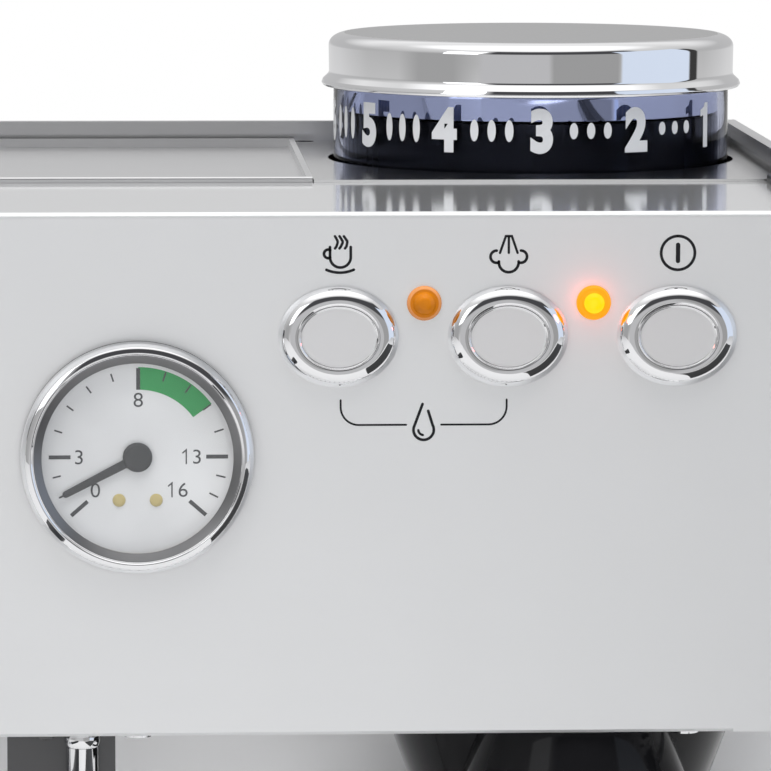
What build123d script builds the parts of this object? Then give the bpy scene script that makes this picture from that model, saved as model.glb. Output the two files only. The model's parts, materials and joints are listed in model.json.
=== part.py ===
"""Domestic espresso machine with a built-in grinder, in millimetres.

+Z is up, +X is to the right as seen from the front, and the front faces -Y.
The origin is on the table, under the middle of the machine's bounding box.
Depths are measured back from the face of the front panel, and y() turns one into a Y coordinate.
"""

import os
from math import radians, tan

from build123d import *

# ---------------------------------------------------------------- driving dimensions
HALF = 160.0  # half the width over the side panels
LEDGE_Z = 350.0  # top of the front ledge
PANEL_Z = 236.0  # lower edge of the front panel
SHEET = 1.2  # stainless sheet
BEND = 1.4  # outside radius of a bend
BODY_DEPTH = 201.3  # front panel to back panel
REAR_PROUD = 2.2  # the mains inlet's flange stands this far behind the back panel
RAIL_Z = LEDGE_Z + 5.5  # top of the rim round the cup tray
HEM = 3.6  # width of the rim
HEM_TALL = 3.3
DECK_DEPTH = 76.8  # front edge of the grinder deck and the cup tray
DECK_Z = LEDGE_Z + 0.6
SPLIT_X = 47.4  # cup tray to the left, grinder deck to the right
RECESS = 106.0  # depth of the brewing bay
BASE_Z = 12.0  # underside of the base
BAY_FLOOR = 60.0
BASE_FRONT = -50.0  # the base stands this far in front of the panel
FLANGE_HALF = 136.0  # the panel's lower flange stops short of both corners
FLANGE_DEPTH = 12.0

GROUP = (-85.0, 58.0)  # x, depth of the brew group
HANDLE_REACH = 198.0  # end of the portafilter handle, from the group's axis
GRINDER = (102.5, 142.0)  # x, depth of the hopper and the burrs
MOTOR = (67.2, 153.0)  # x, depth of the grinder motor
CONE = (102.6, 56.0)  # x, depth
NOZZLE = (103.2, 22.0)  # x, depth
FORK = (103.2, 40.0)  # x, depth
WAND = (-6.0, 22.0, 231.5)  # x, depth, z of the wand's ball

GAUGE = (6.3, 297.2)  # x, z
BUTTON_Z = 323.1
BUTTONS = {"button_coffee": 49.6, "button_steam": 86.2, "button_power": 122.8}
PRESS = 2.5  # how far a button travels
LAMP_Z = 330.3
LAMPS = {"lamp_ready": 68.1, "lamp_power": 104.7}
KNOB = (-112.0, 323.1)  # x, z

MOVE_GAP = 0.3  # between faces that move past each other
RUNNING = 0.05  # radial clearance of a shaft in its bore
WALL = SHEET + 0.1  # how far sheets stop short of the outside of the side panels

# the box's middle in Y is halfway from the handle's end to the inlet's flange
FRONT_Y = -(GROUP[1] - HANDLE_REACH + BODY_DEPTH + REAR_PROUD) / 2

pieces = {}


# ---------------------------------------------------------------- helpers
def y(depth):
    """Y of a point this far behind the face of the front panel."""
    return FRONT_Y + depth


def facing(depth=0.0):
    """A plane parallel to the front panel: its x is +X, its y is +Z and it faces the user."""
    return Plane(origin=(0, y(depth), 0), x_dir=(1, 0, 0), z_dir=(0, -1, 0))


def side(x):
    """A plane across the machine: its x is +Y and its y is +Z."""
    return Plane.YZ.offset(x)


def level(z):
    return Plane.XY.offset(z)


def outline(plane, *points):
    """A closed polygon as a sketch on the plane."""
    with BuildSketch(plane) as drawn:
        with BuildLine():
            Polyline(*points, close=True)
        make_face()
    return drawn.sketch


def turn_up(place, *points, mode=Mode.ADD):
    """Turns a profile of (radius, z) points about a vertical axis at (x, depth)."""
    x, depth = place
    plane = Plane(origin=(x, y(depth), 0), x_dir=(1, 0, 0), z_dir=(0, -1, 0))
    revolve(outline(plane, *points), axis=Axis((x, y(depth), 0), (0, 0, 1)), mode=mode)


def turn_front(place, *points, mode=Mode.ADD):
    """Turns a profile of (radius, distance in front of the panel) about an axis at (x, z)."""
    x, z = place
    plane = Plane(origin=(x, y(0), z), x_dir=(1, 0, 0), z_dir=(0, 0, -1))
    revolve(outline(plane, *points), axis=Axis((x, y(0), z), (0, -1, 0)), mode=mode)


def block(xs, depths, zs, mode=Mode.ADD):
    """A box between two x, two depths and two z."""
    with Locations((sum(xs) / 2, y(sum(depths) / 2), sum(zs) / 2)):
        Box(xs[1] - xs[0], depths[1] - depths[0], zs[1] - zs[0], mode=mode)


def post(place, radius, zs, mode=Mode.ADD):
    """An upright cylinder at (x, depth)."""
    with Locations((place[0], y(place[1]), sum(zs) / 2)):
        Cylinder(radius, zs[1] - zs[0], mode=mode)


def rod(place, radius, depths, mode=Mode.ADD):
    """A cylinder along Y at (x, z)."""
    with Locations(Location((place[0], y(sum(depths) / 2), place[1]), (90, 0, 0))):
        Cylinder(radius, depths[1] - depths[0], mode=mode)


def finish(name, built):
    """Labels a finished piece and keeps it for export."""
    built.part.label = name
    pieces[name] = built.part


# ---------------------------------------------------------------- casing
with BuildPart() as front_panel:
    # face and ledge are one bent sheet
    ledge_end = DECK_DEPTH - 0.2
    extrude(
        outline(
            side(-HALF),
            (y(0), PANEL_Z),
            (y(0), LEDGE_Z),
            (y(ledge_end), LEDGE_Z),
            (y(ledge_end), LEDGE_Z - SHEET),
            (y(SHEET), LEDGE_Z - SHEET),
            (y(SHEET), PANEL_Z),
        ),
        amount=2 * HALF,
    )
    fillet(front_panel.edges().filter_by(Axis.X).group_by(Axis.Z)[-1].sort_by(Axis.Y)[0], BEND)
    block((-FLANGE_HALF, FLANGE_HALF), (0, FLANGE_DEPTH), (PANEL_Z, PANEL_Z + SHEET))
    with Locations((0, y(0), PANEL_Z)):
        Box(2 * FLANGE_HALF, 1.0, 1.0, rotation=(45, 0, 0), mode=Mode.SUBTRACT)
    with BuildSketch(facing()):
        with Locations(GAUGE):
            Circle(22.4)
        with Locations([(x, BUTTON_Z) for x in BUTTONS.values()]):
            Ellipse(9.4, 7.6)
        with Locations([(x, LAMP_Z) for x in LAMPS.values()]):
            Circle(2.6)
        with Locations(KNOB):
            Circle(6.5)
    extrude(amount=-2 * SHEET, mode=Mode.SUBTRACT)
finish("front_panel", front_panel)

for name, sign in (("side_panel_left", -1), ("side_panel_right", 1)):
    with BuildPart() as side_panel:
        extrude(
            outline(
                side(min(sign * HALF, sign * (HALF - SHEET))),
                (y(BASE_FRONT), BASE_Z),
                (y(BODY_DEPTH), BASE_Z),
                (y(BODY_DEPTH), RAIL_Z),
                (y(DECK_DEPTH), RAIL_Z),
                (y(DECK_DEPTH), LEDGE_Z - SHEET),
                (y(SHEET), LEDGE_Z - SHEET),
                (y(SHEET), PANEL_Z),
                (y(RECESS), PANEL_Z),
                (y(RECESS), BAY_FLOOR),
                (y(BASE_FRONT), BAY_FLOOR),
            ),
            amount=SHEET,
        )
        bay_corners = side_panel.edges().filter_by(Axis.X).group_by(Axis.Y)
        at_recess = [edges for edges in bay_corners if abs(edges[0].center().Y - y(RECESS)) < 0.01]
        fillet(at_recess[0], 9.0)
        # the top is folded in to a square rim
        hem_x = sorted((sign * HALF, sign * (HALF - HEM)))
        block(hem_x, (DECK_DEPTH, BODY_DEPTH - SHEET), (RAIL_Z - HEM_TALL, RAIL_Z))
        fillet(side_panel.edges().filter_by(Axis.Y).group_by(Axis.Z)[-1].sort_by(SortBy.LENGTH)[-1], 0.7)
    finish(name, side_panel)

INLET = (118.0, 46.0)  # x, z of the mains inlet
with BuildPart() as back_panel:
    inner = HALF - SHEET
    block((-inner, inner), (BODY_DEPTH - SHEET, BODY_DEPTH), (BASE_Z, RAIL_Z))
    hem_half = HALF - HEM
    block((-hem_half, hem_half), (BODY_DEPTH - HEM, BODY_DEPTH - SHEET), (RAIL_Z - HEM_TALL, RAIL_Z))
    fillet(back_panel.edges().filter_by(Axis.X).group_by(Axis.Z)[-1].sort_by(Axis.Y)[-1], 0.6)
    block(
        (INLET[0] - 14, INLET[0] + 14),
        (BODY_DEPTH - 5, BODY_DEPTH + 5),
        (INLET[1] - 10.3, INLET[1] + 10.3),
        mode=Mode.SUBTRACT,
    )
    # louvres beside the grinder motor
    with Locations([(70, y(BODY_DEPTH), 150 + 12 * row) for row in range(8)]):
        Box(60, 10, 4, mode=Mode.SUBTRACT)
finish("back_panel", back_panel)

HOPPER_HOLE = 49.05
with BuildPart() as grinder_deck:
    deck_back = BODY_DEPTH - SHEET - 0.1
    deck_right = HALF - WALL
    block((SPLIT_X, deck_right), (DECK_DEPTH, deck_back), (DECK_Z - SHEET, DECK_Z))
    block((SPLIT_X, SPLIT_X + SHEET), (DECK_DEPTH + 1, deck_back), (LEDGE_Z - 22, DECK_Z - SHEET))
    post(GRINDER, HOPPER_HOLE, (LEDGE_Z - 5, LEDGE_Z + 5), mode=Mode.SUBTRACT)
    post((SPLIT_X + 2.4, BODY_DEPTH - HEM - 2.4), 2.4, (LEDGE_Z - 5, LEDGE_Z + 5), mode=Mode.SUBTRACT)
finish("grinder_deck", grinder_deck)

with BuildPart() as side_trims:
    TRIM_IN = 151.6
    for sign in (-1, 1):
        trim_x = sorted((sign * TRIM_IN, sign * HALF))
        block(trim_x, (2.0, DECK_DEPTH - 0.3), (LEDGE_Z, LEDGE_Z + 2.1))
    fillet(side_trims.edges().filter_by(Axis.Z), 2.0)
    fillet(side_trims.faces().group_by(Axis.Z)[-1].edges(), 0.9)
finish("side_trims", side_trims)

CEILING_Z = PANEL_Z + 1.8  # underside of the bay's ceiling
with BuildPart() as backsplash:
    # the bay's back wall and ceiling are one bent sheet
    sheet_half = HALF - WALL
    block((-sheet_half, sheet_half), (RECESS, RECESS + SHEET), (BASE_Z + 2, CEILING_Z + SHEET))
    block((-sheet_half, sheet_half), (FLANGE_DEPTH + 0.4, RECESS), (CEILING_Z, CEILING_Z + SHEET))
    post(GROUP, 31.0, (CEILING_Z - 1, CEILING_Z + 3), mode=Mode.SUBTRACT)
    post((WAND[0], WAND[1]), 6.0, (CEILING_Z - 1, CEILING_Z + 3), mode=Mode.SUBTRACT)
    chute_x = (NOZZLE[0] - 11, NOZZLE[0] + 11)
    block(chute_x, (FLANGE_DEPTH + 0.1, 35), (CEILING_Z - 1, CEILING_Z + 3), mode=Mode.SUBTRACT)
finish("backsplash", backsplash)

PAN_WALL = 2.0
with BuildPart() as base_pan:
    pan_half = HALF - WALL
    pan_back = BODY_DEPTH - SHEET - 0.1
    block((-pan_half, pan_half), (BASE_FRONT + 0.5, pan_back), (BASE_Z, BASE_Z + PAN_WALL))
    for sign in (-1, 1):
        wall_x = sorted((sign * pan_half, sign * (pan_half - PAN_WALL)))
        block(wall_x, (RECESS + SHEET, pan_back), (BASE_Z, 40))
    block((-pan_half, pan_half), (pan_back - PAN_WALL, pan_back), (BASE_Z, 30))
    with Locations([(x, y(125), BASE_Z) for x in range(-120, 121, 12)]):
        Box(5, 24, 10, mode=Mode.SUBTRACT)
finish("base_pan", base_pan)

FOOT_PLACES = [(x, depth) for x in (-128.0, 128.0) for depth in (-24.0, 178.0)]
with BuildPart() as feet:
    for place in FOOT_PLACES:
        turn_up(place, (0, 0), (11, 0), (12.5, 1.5), (14, BASE_Z), (0, BASE_Z))
finish("feet", feet)

SCREW_PROUD = 1.6
with BuildPart() as case_screws:
    for x, z in [(sx * 150, sz) for sx in (-1, 1) for sz in (24, 130, 236, 340)]:
        rod((x, z), 3.2, (BODY_DEPTH, BODY_DEPTH + SCREW_PROUD))
    fillet(case_screws.faces().sort_by(Axis.Y)[-8:].edges(), 1.0)
    for x in (6.2, 126.0, -126.0):
        turn_up((x, 6.2), (0, PANEL_Z), (3.5, PANEL_Z), (3.0, PANEL_Z - 1.0), (0, PANEL_Z - 1.7))
finish("case_screws", case_screws)

with BuildPart() as power_inlet:
    inlet_x = (INLET[0] - 17, INLET[0] + 17)
    inlet_z = (INLET[1] - 14, INLET[1] + 14)
    block(inlet_x, (BODY_DEPTH, BODY_DEPTH + REAR_PROUD), inlet_z)
    body_x = (INLET[0] - 13.7, INLET[0] + 13.7)
    body_z = (INLET[1] - 10, INLET[1] + 10)
    block(body_x, (BODY_DEPTH - 24, BODY_DEPTH), body_z)
    socket_x = (INLET[0] - 12, INLET[0] + 12)
    socket_z = (INLET[1] - 8.2, INLET[1] + 8.2)
    block(socket_x, (BODY_DEPTH - 17, BODY_DEPTH + REAR_PROUD), socket_z, mode=Mode.SUBTRACT)
    for dx, dz in ((-7, -2), (7, -2), (0, 2)):
        pin_x = (INLET[0] + dx - 1, INLET[0] + dx + 1)
        pin_z = (INLET[1] + dz - 2, INLET[1] + dz + 2)
        block(pin_x, (BODY_DEPTH - 17, BODY_DEPTH - 2), pin_z)
finish("power_inlet", power_inlet)

# ---------------------------------------------------------------- cup tray and its frame
TRAY_FLOOR = DECK_Z - 1.45
TRAY_LEFT = -(HALF - HEM - MOVE_GAP)
TRAY_RIGHT = SPLIT_X - MOVE_GAP
TRAY_FRONT = DECK_DEPTH + MOVE_GAP
TRAY_BACK = BODY_DEPTH - HEM - MOVE_GAP
FRAME_Z = 346.4  # top of the frame that the tray rests on
with BuildPart() as cup_tray:
    tray_x = (TRAY_LEFT, TRAY_RIGHT)
    tray_d = (TRAY_FRONT, TRAY_BACK)
    block(tray_x, tray_d, (FRAME_Z + MOVE_GAP, LEDGE_Z + 1.3))
    lip = 1.4
    inner_x = (TRAY_LEFT + lip, TRAY_RIGHT - lip)
    inner_d = (TRAY_FRONT + lip, TRAY_BACK - lip)
    block(inner_x, inner_d, (TRAY_FLOOR, LEDGE_Z + 2), mode=Mode.SUBTRACT)
    fillet(cup_tray.edges().filter_by(Axis.X).group_by(Axis.Z)[-1].sort_by(Axis.Y)[0], 0.6)
    under_x = (TRAY_LEFT + 2, TRAY_RIGHT - 2)
    under_d = (TRAY_FRONT + 2, TRAY_BACK - 2)
    block(under_x, under_d, (FRAME_Z, TRAY_FLOOR - SHEET), mode=Mode.SUBTRACT)
finish("cup_tray", cup_tray)

SHELF_Z = 104.0  # top of the shelf under the water tank
with BuildPart() as inner_frame:
    # the ring that the cup tray rests on
    block((-(HALF - SHEET), SPLIT_X), (66, BODY_DEPTH - SHEET), (FRAME_Z - 1.5, FRAME_Z))
    block((-152, 36), (84, 196), (FRAME_Z - 3, FRAME_Z + 1), mode=Mode.SUBTRACT)
    block((-(HALF - SHEET), SPLIT_X), (66, 67.5), (FRAME_Z, LEDGE_Z - SHEET))
    # the tank's shelf and its leg
    shelf_back = BODY_DEPTH - SHEET
    block((-(HALF - SHEET), 4), (RECESS + SHEET, shelf_back), (SHELF_Z - 1.5, SHELF_Z))
    block((2, 4), (RECESS + SHEET, shelf_back - 2.5), (BASE_Z + PAN_WALL, SHELF_Z - 1.5))
finish("inner_frame", inner_frame)

# ---------------------------------------------------------------- brewing
with BuildPart() as boiler:
    BOILER_BASE = CEILING_Z + SHEET
    turn_up(
        GROUP,
        (0, BOILER_BASE),
        (30.5, BOILER_BASE),
        (30.5, 248),
        (44, 251),
        (44, 272),
        (47, 272),
        (47, 277),
        (44, 277),
        (44, 296),
        (36, 308),
        (0, 308),
    )
    with Locations([(GROUP[0] + 12 * s, y(GROUP[1]), 308) for s in (-1, 1)]):
        Cylinder(2.5, 24)
    # the water space
    post(GROUP, 38.0, (256, 300), mode=Mode.SUBTRACT)
    # thermostats on the boiler's top and round its shoulder
    for dx, depth in ((-14, GROUP[1] + 16), (14, GROUP[1] + 16), (0, GROUP[1] - 20)):
        post((GROUP[0] + dx, depth), 7.5, (308, 316))
        post((GROUP[0] + dx, depth), 4.0, (316, 321))
finish("boiler", boiler)

LUG_Z = (211.8, 216.8)
with BuildPart() as group_head:
    turn_up(
        GROUP,
        (30.5, CEILING_Z + SHEET),
        (30.5, CEILING_Z),
        (40, CEILING_Z),
        (40, 233),
        (38.5, 231.5),
        (38.5, 207.5),
        (37.5, 206),
        (32.2, 206),
        (32.2, LUG_Z[0] - 0.4),
        (36.0, LUG_Z[0] - 0.4),
        (36.0, LUG_Z[1] + 0.5),
        (32.2, LUG_Z[1] + 0.5),
        (32.2, 229),
        (0, 229),
        (0, CEILING_Z + SHEET),
    )
    # the lugs enter here, at the unlocked angle
    for angle in (-45, 135):
        with BuildSketch(level(205)):
            with Locations(Location((GROUP[0], y(GROUP[1]), 0), angle)):
                with Locations((34, 0)):
                    Rectangle(4.4, 19)
        extrude(amount=LUG_Z[0] - 204, mode=Mode.SUBTRACT)
finish("group_head", group_head)

with BuildPart() as group_gasket:
    turn_up(GROUP, (27.5, 220.9), (32.2, 220.9), (32.2, 229), (27.5, 229))
finish("group_gasket", group_gasket)

with BuildPart() as shower_screen:
    turn_up(GROUP, (0, 221.4), (27.4, 221.4), (27.4, 224), (26.4, 224), (26.4, 222.4), (0, 222.4))
    post(GROUP, 3.5, (219.6, 221.4))
    post(GROUP, 2.0, (222.4, 229))
    for ring_radius, count in ((8, 8), (14, 14), (20, 20)):
        with Locations(Location((GROUP[0], y(GROUP[1]), 222))):
            with PolarLocations(ring_radius, count):
                Cylinder(1.1, 4, mode=Mode.SUBTRACT)
finish("shower_screen", shower_screen)

HANDLE_Z = 198.4
FERRULE = GROUP[1] - 54  # depth where the grip begins
with BuildPart() as portafilter:
    turn_up(
        GROUP,
        (29.6, 219.4),
        (31.8, 219.4),
        (31.8, 205),
        (35, 205),
        (35, 196),
        (33, 192),
        (18, 178),
        (9, 176),
        (9, 170),
        (5, 170),
        (5, 179),
        (15, 181),
        (29.6, 194),
    )
    for angle in (0, 180):
        with BuildSketch(level(LUG_Z[0])):
            with Locations(Location((GROUP[0], y(GROUP[1]), 0), angle)):
                with Locations((32.5, 0)):
                    Rectangle(4.2, 17)
        extrude(amount=LUG_Z[1] - LUG_Z[0])
    post(GROUP, 29.6, (195, 222), mode=Mode.SUBTRACT)
    rod((GROUP[0], HANDLE_Z), 6.5, (FERRULE, GROUP[1] - 31.5))
    rod((GROUP[0], HANDLE_Z), 9.5, (FERRULE, FERRULE + 8))
    # the double spout
    post(GROUP, 11.5, (162, 171))
    for sign in (-1, 1):
        spout_plane = Plane(origin=(GROUP[0], y(GROUP[1]), 0), x_dir=(1, 0, 0), z_dir=(0, -1, 0))
        with BuildLine(spout_plane) as spout_run:
            FilletPolyline((0, 167), (sign * 20, 160), (sign * 20, 146), radius=7)
        with BuildSketch(Plane(origin=spout_run.line @ 0, z_dir=spout_run.line % 0)):
            Circle(5.5)
        sweep(path=spout_run.line)
    post(GROUP, 4.5, (163, 175), mode=Mode.SUBTRACT)
    for sign in (-1, 1):
        post((GROUP[0] + sign * 20, GROUP[1]), 3.6, (145, 156), mode=Mode.SUBTRACT)
finish("portafilter", portafilter)

with BuildPart() as filter_basket:
    turn_up(
        GROUP,
        (28.6, 220.3),
        (31.6, 220.3),
        (31.6, 219.4),
        (29.3, 219.4),
        (29.3, 199),
        (26.5, 196),
        (0, 196),
        (0, 196.8),
        (26.1, 196.8),
        (28.6, 199.4),
    )
finish("filter_basket", filter_basket)

with BuildPart() as portafilter_handle:
    tip = GROUP[1] - HANDLE_REACH
    length = FERRULE - tip
    handle_plane = Plane(origin=(GROUP[0], y(FERRULE), HANDLE_Z), x_dir=(1, 0, 0), z_dir=(0, 0, -1))
    with BuildSketch(handle_plane):
        with BuildLine():
            Line((0, 0), (10.5, 0))
            Spline((10.5, 0), (11, 0.25 * length), (15.2, 0.62 * length), (14.2, 0.9 * length))
            Spline((14.2, 0.9 * length), (10, 0.98 * length), (0, length), tangents=((-0.1, 1), (-1, 0)))
            Line((0, length), (0, 0))
        make_face()
    revolve(axis=Axis((GROUP[0], y(0), HANDLE_Z), (0, -1, 0)))
finish("portafilter_handle", portafilter_handle)

with BuildPart() as solenoid_valve:
    block((-35, -11), (62, 90), (246, 276))
    post((-23, 76), 9, (276, 300))
    post((-23, 76), 5, (300, 306))
    block((-33, -13), (64, 88), (CEILING_Z + SHEET, 246))
finish("solenoid_valve", solenoid_valve)

# ---------------------------------------------------------------- water
TANK_X = (-149.0, -3.0)
TANK_D = (109.0, 195.0)
TANK_Z = (SHELF_Z, 338.0)
TANK_WALL = 2.4
with BuildPart() as water_tank:
    block(TANK_X, TANK_D, TANK_Z)
    fillet(water_tank.edges().filter_by(Axis.Z), 8.0)
    with BuildSketch(level(TANK_Z[0] + TANK_WALL)):
        with Locations((sum(TANK_X) / 2, y(sum(TANK_D) / 2))):
            RectangleRounded(
                TANK_X[1] - TANK_X[0] - 2 * TANK_WALL,
                TANK_D[1] - TANK_D[0] - 2 * TANK_WALL,
                8.0 - TANK_WALL,
            )
    extrude(amount=TANK_Z[1], mode=Mode.SUBTRACT)
finish("water_tank", water_tank)

with BuildPart() as pump:
    PUMP = (150.0, 48.0)  # depth, z of the pump's axis
    with Locations(Location((-80, y(PUMP[0]), PUMP[1]), (0, 90, 0))):
        Cylinder(12, 96)
    block((-106, -60), (PUMP[0] - 19, PUMP[0] + 19), (PUMP[1] - 19, PUMP[1] + 19))
    block((-112, -106), (PUMP[0] - 10, PUMP[0] + 10), (BASE_Z + PAN_WALL, PUMP[1] + 5))
    block((-60, -54), (PUMP[0] - 10, PUMP[0] + 10), (BASE_Z + PAN_WALL, PUMP[1] + 5))
finish("pump", pump)

with BuildPart() as copper_pipes:
    # boiler to steam valve, and steam valve to the wand
    pipe_runs = (
        ((-97, 58, 320), (-97, 58, 330), (-112, 44, 330), (-112, 44, 323.1), (-112, 36, 323.1)),
        ((-103.3, 30, 323.1), (-70, 34, 323.1), (-30, 40, 334), (-14, 44, 320), (-6, 40, 262), (-6, 30, 254)),
    )
    for stops in pipe_runs:
        points = [Vector(x, y(depth), z) for x, depth, z in stops]
        with BuildLine() as route:
            FilletPolyline(*points, radius=3.0)
        with BuildSketch(Plane(origin=route.line @ 0, z_dir=route.line % 0)):
            Circle(2.0)
        sweep(path=route.line)
finish("copper_pipes", copper_pipes)

with BuildPart() as control_board:
    block((8, 9.6), (112, 196), (112, 222))
    block((9.6, 26), (120, 142), (120, 138))
    block((9.6, 22), (150, 166), (124, 152))
    block((9.6, 18), (120, 186), (190, 204))
    for z in (160, 172):
        block((9.6, 24), (124, 146), (z, z + 9))
    block((-2.9, 8), (112, 196), (108, 112))
finish("control_board", control_board)

# ---------------------------------------------------------------- steam
with BuildPart() as steam_valve:
    turn_front(
        KNOB,
        (4.5 + RUNNING, -SHEET),
        (12, -SHEET),
        (12, -5),
        (8.5, -5),
        (8.5, -34),
        (0, -34),
        (0, -22),
        (4.5 + RUNNING, -22),
    )
    # the collar on the front of the panel
    turn_front(KNOB, (6.5, 0), (21.5, 0), (21.5, 1.0), (20.5, 2.4), (6.5, 2.4))
finish("steam_valve", steam_valve)

with BuildPart() as steam_knob:
    turn_front(KNOB, (0, -20), (4.5, -20), (4.5, 4), (16, 4), (18.5, 6), (17, 27), (15, 29), (0, 29))
    with Locations(Location((KNOB[0], y(-18), KNOB[1]), (90, 0, 0))):
        with PolarLocations(19.6, 12):
            Cylinder(2.6, 30, mode=Mode.SUBTRACT)
    block((KNOB[0] - 1, KNOB[0] + 1), (-29, -28.4), (KNOB[1] + 5, KNOB[1] + 13), mode=Mode.SUBTRACT)
finish("steam_knob", steam_knob)

with BuildPart() as wand_bracket:
    bracket_front = WAND[1] + 7
    block((-22.7, 1.3), (bracket_front, bracket_front + 14), (205, CEILING_Z))
    fillet(wand_bracket.edges().filter_by(Axis.X).group_by(Axis.Z)[0], 4)
    block((-22.7, 1.3), (FLANGE_DEPTH + 0.5, bracket_front), (236.6, CEILING_Z))
    post((WAND[0], WAND[1]), 5.5, (236.6, 252))
    post((WAND[0], WAND[1]), 2.6 + RUNNING, (236, 250), mode=Mode.SUBTRACT)
    # the domed end of its clamping bolt
    turn_up((-13.9, WAND[1] - 1), (0, 231.2), (1.7, 231.8), (2.4, 233.6), (2.4, 236.6), (0, 236.6))
finish("wand_bracket", wand_bracket)

BALL = 4.0
with BuildPart() as wand_ball:
    with Locations((WAND[0], y(WAND[1]), WAND[2])):
        Sphere(BALL)
    post((WAND[0], WAND[1]), 2.6, (WAND[2], 249.5))
finish("wand_ball", wand_ball)

WAND_PIPE = 3.6
with BuildPart() as wand_pipe:
    wand_side = side(WAND[0])
    with BuildLine(wand_side) as wand_run:
        FilletPolyline(
            (y(WAND[1]), WAND[2]),
            (y(WAND[1]), 172),
            (y(WAND[1] - 16), 118),
            (y(WAND[1] - 16), 104),
            radius=18,
        )
    with BuildSketch(Plane(origin=wand_run.line @ 0, z_dir=wand_run.line % 0)):
        Circle(WAND_PIPE)
    sweep(path=wand_run.line)
    with Locations((WAND[0], y(WAND[1]), WAND[2])):
        Sphere(BALL + RUNNING, mode=Mode.SUBTRACT)
    split(bisect_by=level(WAND[2] - 1.2), keep=Keep.BOTTOM)
    # the steam nozzle
    turn_up(
        (WAND[0], WAND[1] - 16),
        (0, 109),
        (5.6, 109),
        (5.6, 100),
        (3.2, 95),
        (1.2, 94),
        (1.2, 100),
        (0, 100),
    )
finish("wand_pipe", wand_pipe)

with BuildPart() as wand_grip:
    post((WAND[0], WAND[1]), 7.0, (182, 198))
    fillet(wand_grip.edges(), 1.5)
    post((WAND[0], WAND[1]), WAND_PIPE, (180, 220), mode=Mode.SUBTRACT)
finish("wand_grip", wand_grip)

# ---------------------------------------------------------------- controls
RING_HEIGHT = 3.2
RING_HALF = (13.0, 10.95)
CAP_HALF = (8.85, 7.05)
with BuildPart() as button_rings:
    centres = [(x, BUTTON_Z) for x in BUTTONS.values()]
    with BuildSketch(facing()):
        with Locations(centres):
            Ellipse(*RING_HALF)
    extrude(amount=RING_HEIGHT)
    fillet(button_rings.faces().filter_by(Axis.Y).group_by(Axis.Y)[0].edges(), 2.6)
    with BuildSketch(facing()):
        with Locations(centres):
            Ellipse(CAP_HALF[0] + 0.35, CAP_HALF[1] + 0.35)
    extrude(amount=2 * RING_HEIGHT, mode=Mode.SUBTRACT)
finish("button_rings", button_rings)

CAP_PROUD = 2.9
SWITCH_DEPTH = 9.2
for name, x in BUTTONS.items():
    with BuildPart() as button:
        with BuildSketch(facing(2.0)):
            with Locations((x, BUTTON_Z)):
                Ellipse(*CAP_HALF)
        extrude(amount=2.0 + CAP_PROUD)
        fillet(button.faces().sort_by(Axis.Y)[0].edges(), 0.6)
        # a shallow dish inside the bright rim
        with BuildSketch(facing(-CAP_PROUD)):
            with Locations((x, BUTTON_Z)):
                Ellipse(CAP_HALF[0] - 1.2, CAP_HALF[1] - 1.2)
        extrude(amount=-0.35, mode=Mode.SUBTRACT)
        rod((x, BUTTON_Z), 3.2, (2.0, SWITCH_DEPTH - PRESS - MOVE_GAP))
    finish(name, button)

with BuildPart() as switches:
    # three switches snapped into one plate, on four posts
    plate_depths = (SWITCH_DEPTH + 1.5, SWITCH_DEPTH + 2.7)
    block((32, 141), plate_depths, (311, 341))
    for x, z in [(px, pz) for px in (35, 138) for pz in (314, 338)]:
        rod((x, z), 2.2, (SHEET, plate_depths[0]))
    for x in LAMPS.values():
        rod((x, LAMP_Z), 3.4, (5, 20), mode=Mode.SUBTRACT)
    for x in BUTTONS.values():
        block((x - 9.6, x + 9.6), (SWITCH_DEPTH, 30), (BUTTON_Z - 7.1, BUTTON_Z + 7.1))
        for dx in (-5, 0, 5):
            block((x + dx - 1.2, x + dx + 1.2), (30, 38), (BUTTON_Z - 0.5, BUTTON_Z + 0.5))
finish("switches", switches)

for name, x in LAMPS.items():
    with BuildPart() as lamp:
        turn_front(
            (x, LAMP_Z),
            (0, -24),
            (2.5, -24),
            (2.5, 0),
            (3.75, 0),
            (3.75, 0.5),
            (3.3, 1.1),
            (2.3, 1.2),
            (1.9, 2.0),
            (1.1, 2.6),
            (0, 2.8),
        )
    finish(name, lamp)

with BuildPart() as gauge_bezel:
    turn_front(
        GAUGE,
        (22.4, 0),
        (25.2, 0),
        (25.2, 3.3),
        (24.9, 4.1),
        (24.2, 4.6),
        (22.9, 4.6),
        (22.5, 4.0),
        (22.1, 4.4),
        (21.15, 3.0),
        (21.15, 0.3),
        (22.4, 0.3),
    )
finish("gauge_bezel", gauge_bezel)

with BuildPart() as gauge_glass:
    turn_front(GAUGE, (0, 1.9), (21.15, 1.9), (21.15, 2.8), (0, 2.8))
finish("gauge_glass", gauge_glass)

with BuildPart() as gauge_dial:
    turn_front(GAUGE, (0.75 + RUNNING, -0.7), (21.1, -0.7), (21.1, 0.1), (0.75 + RUNNING, 0.1))
finish("gauge_dial", gauge_dial)

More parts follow.
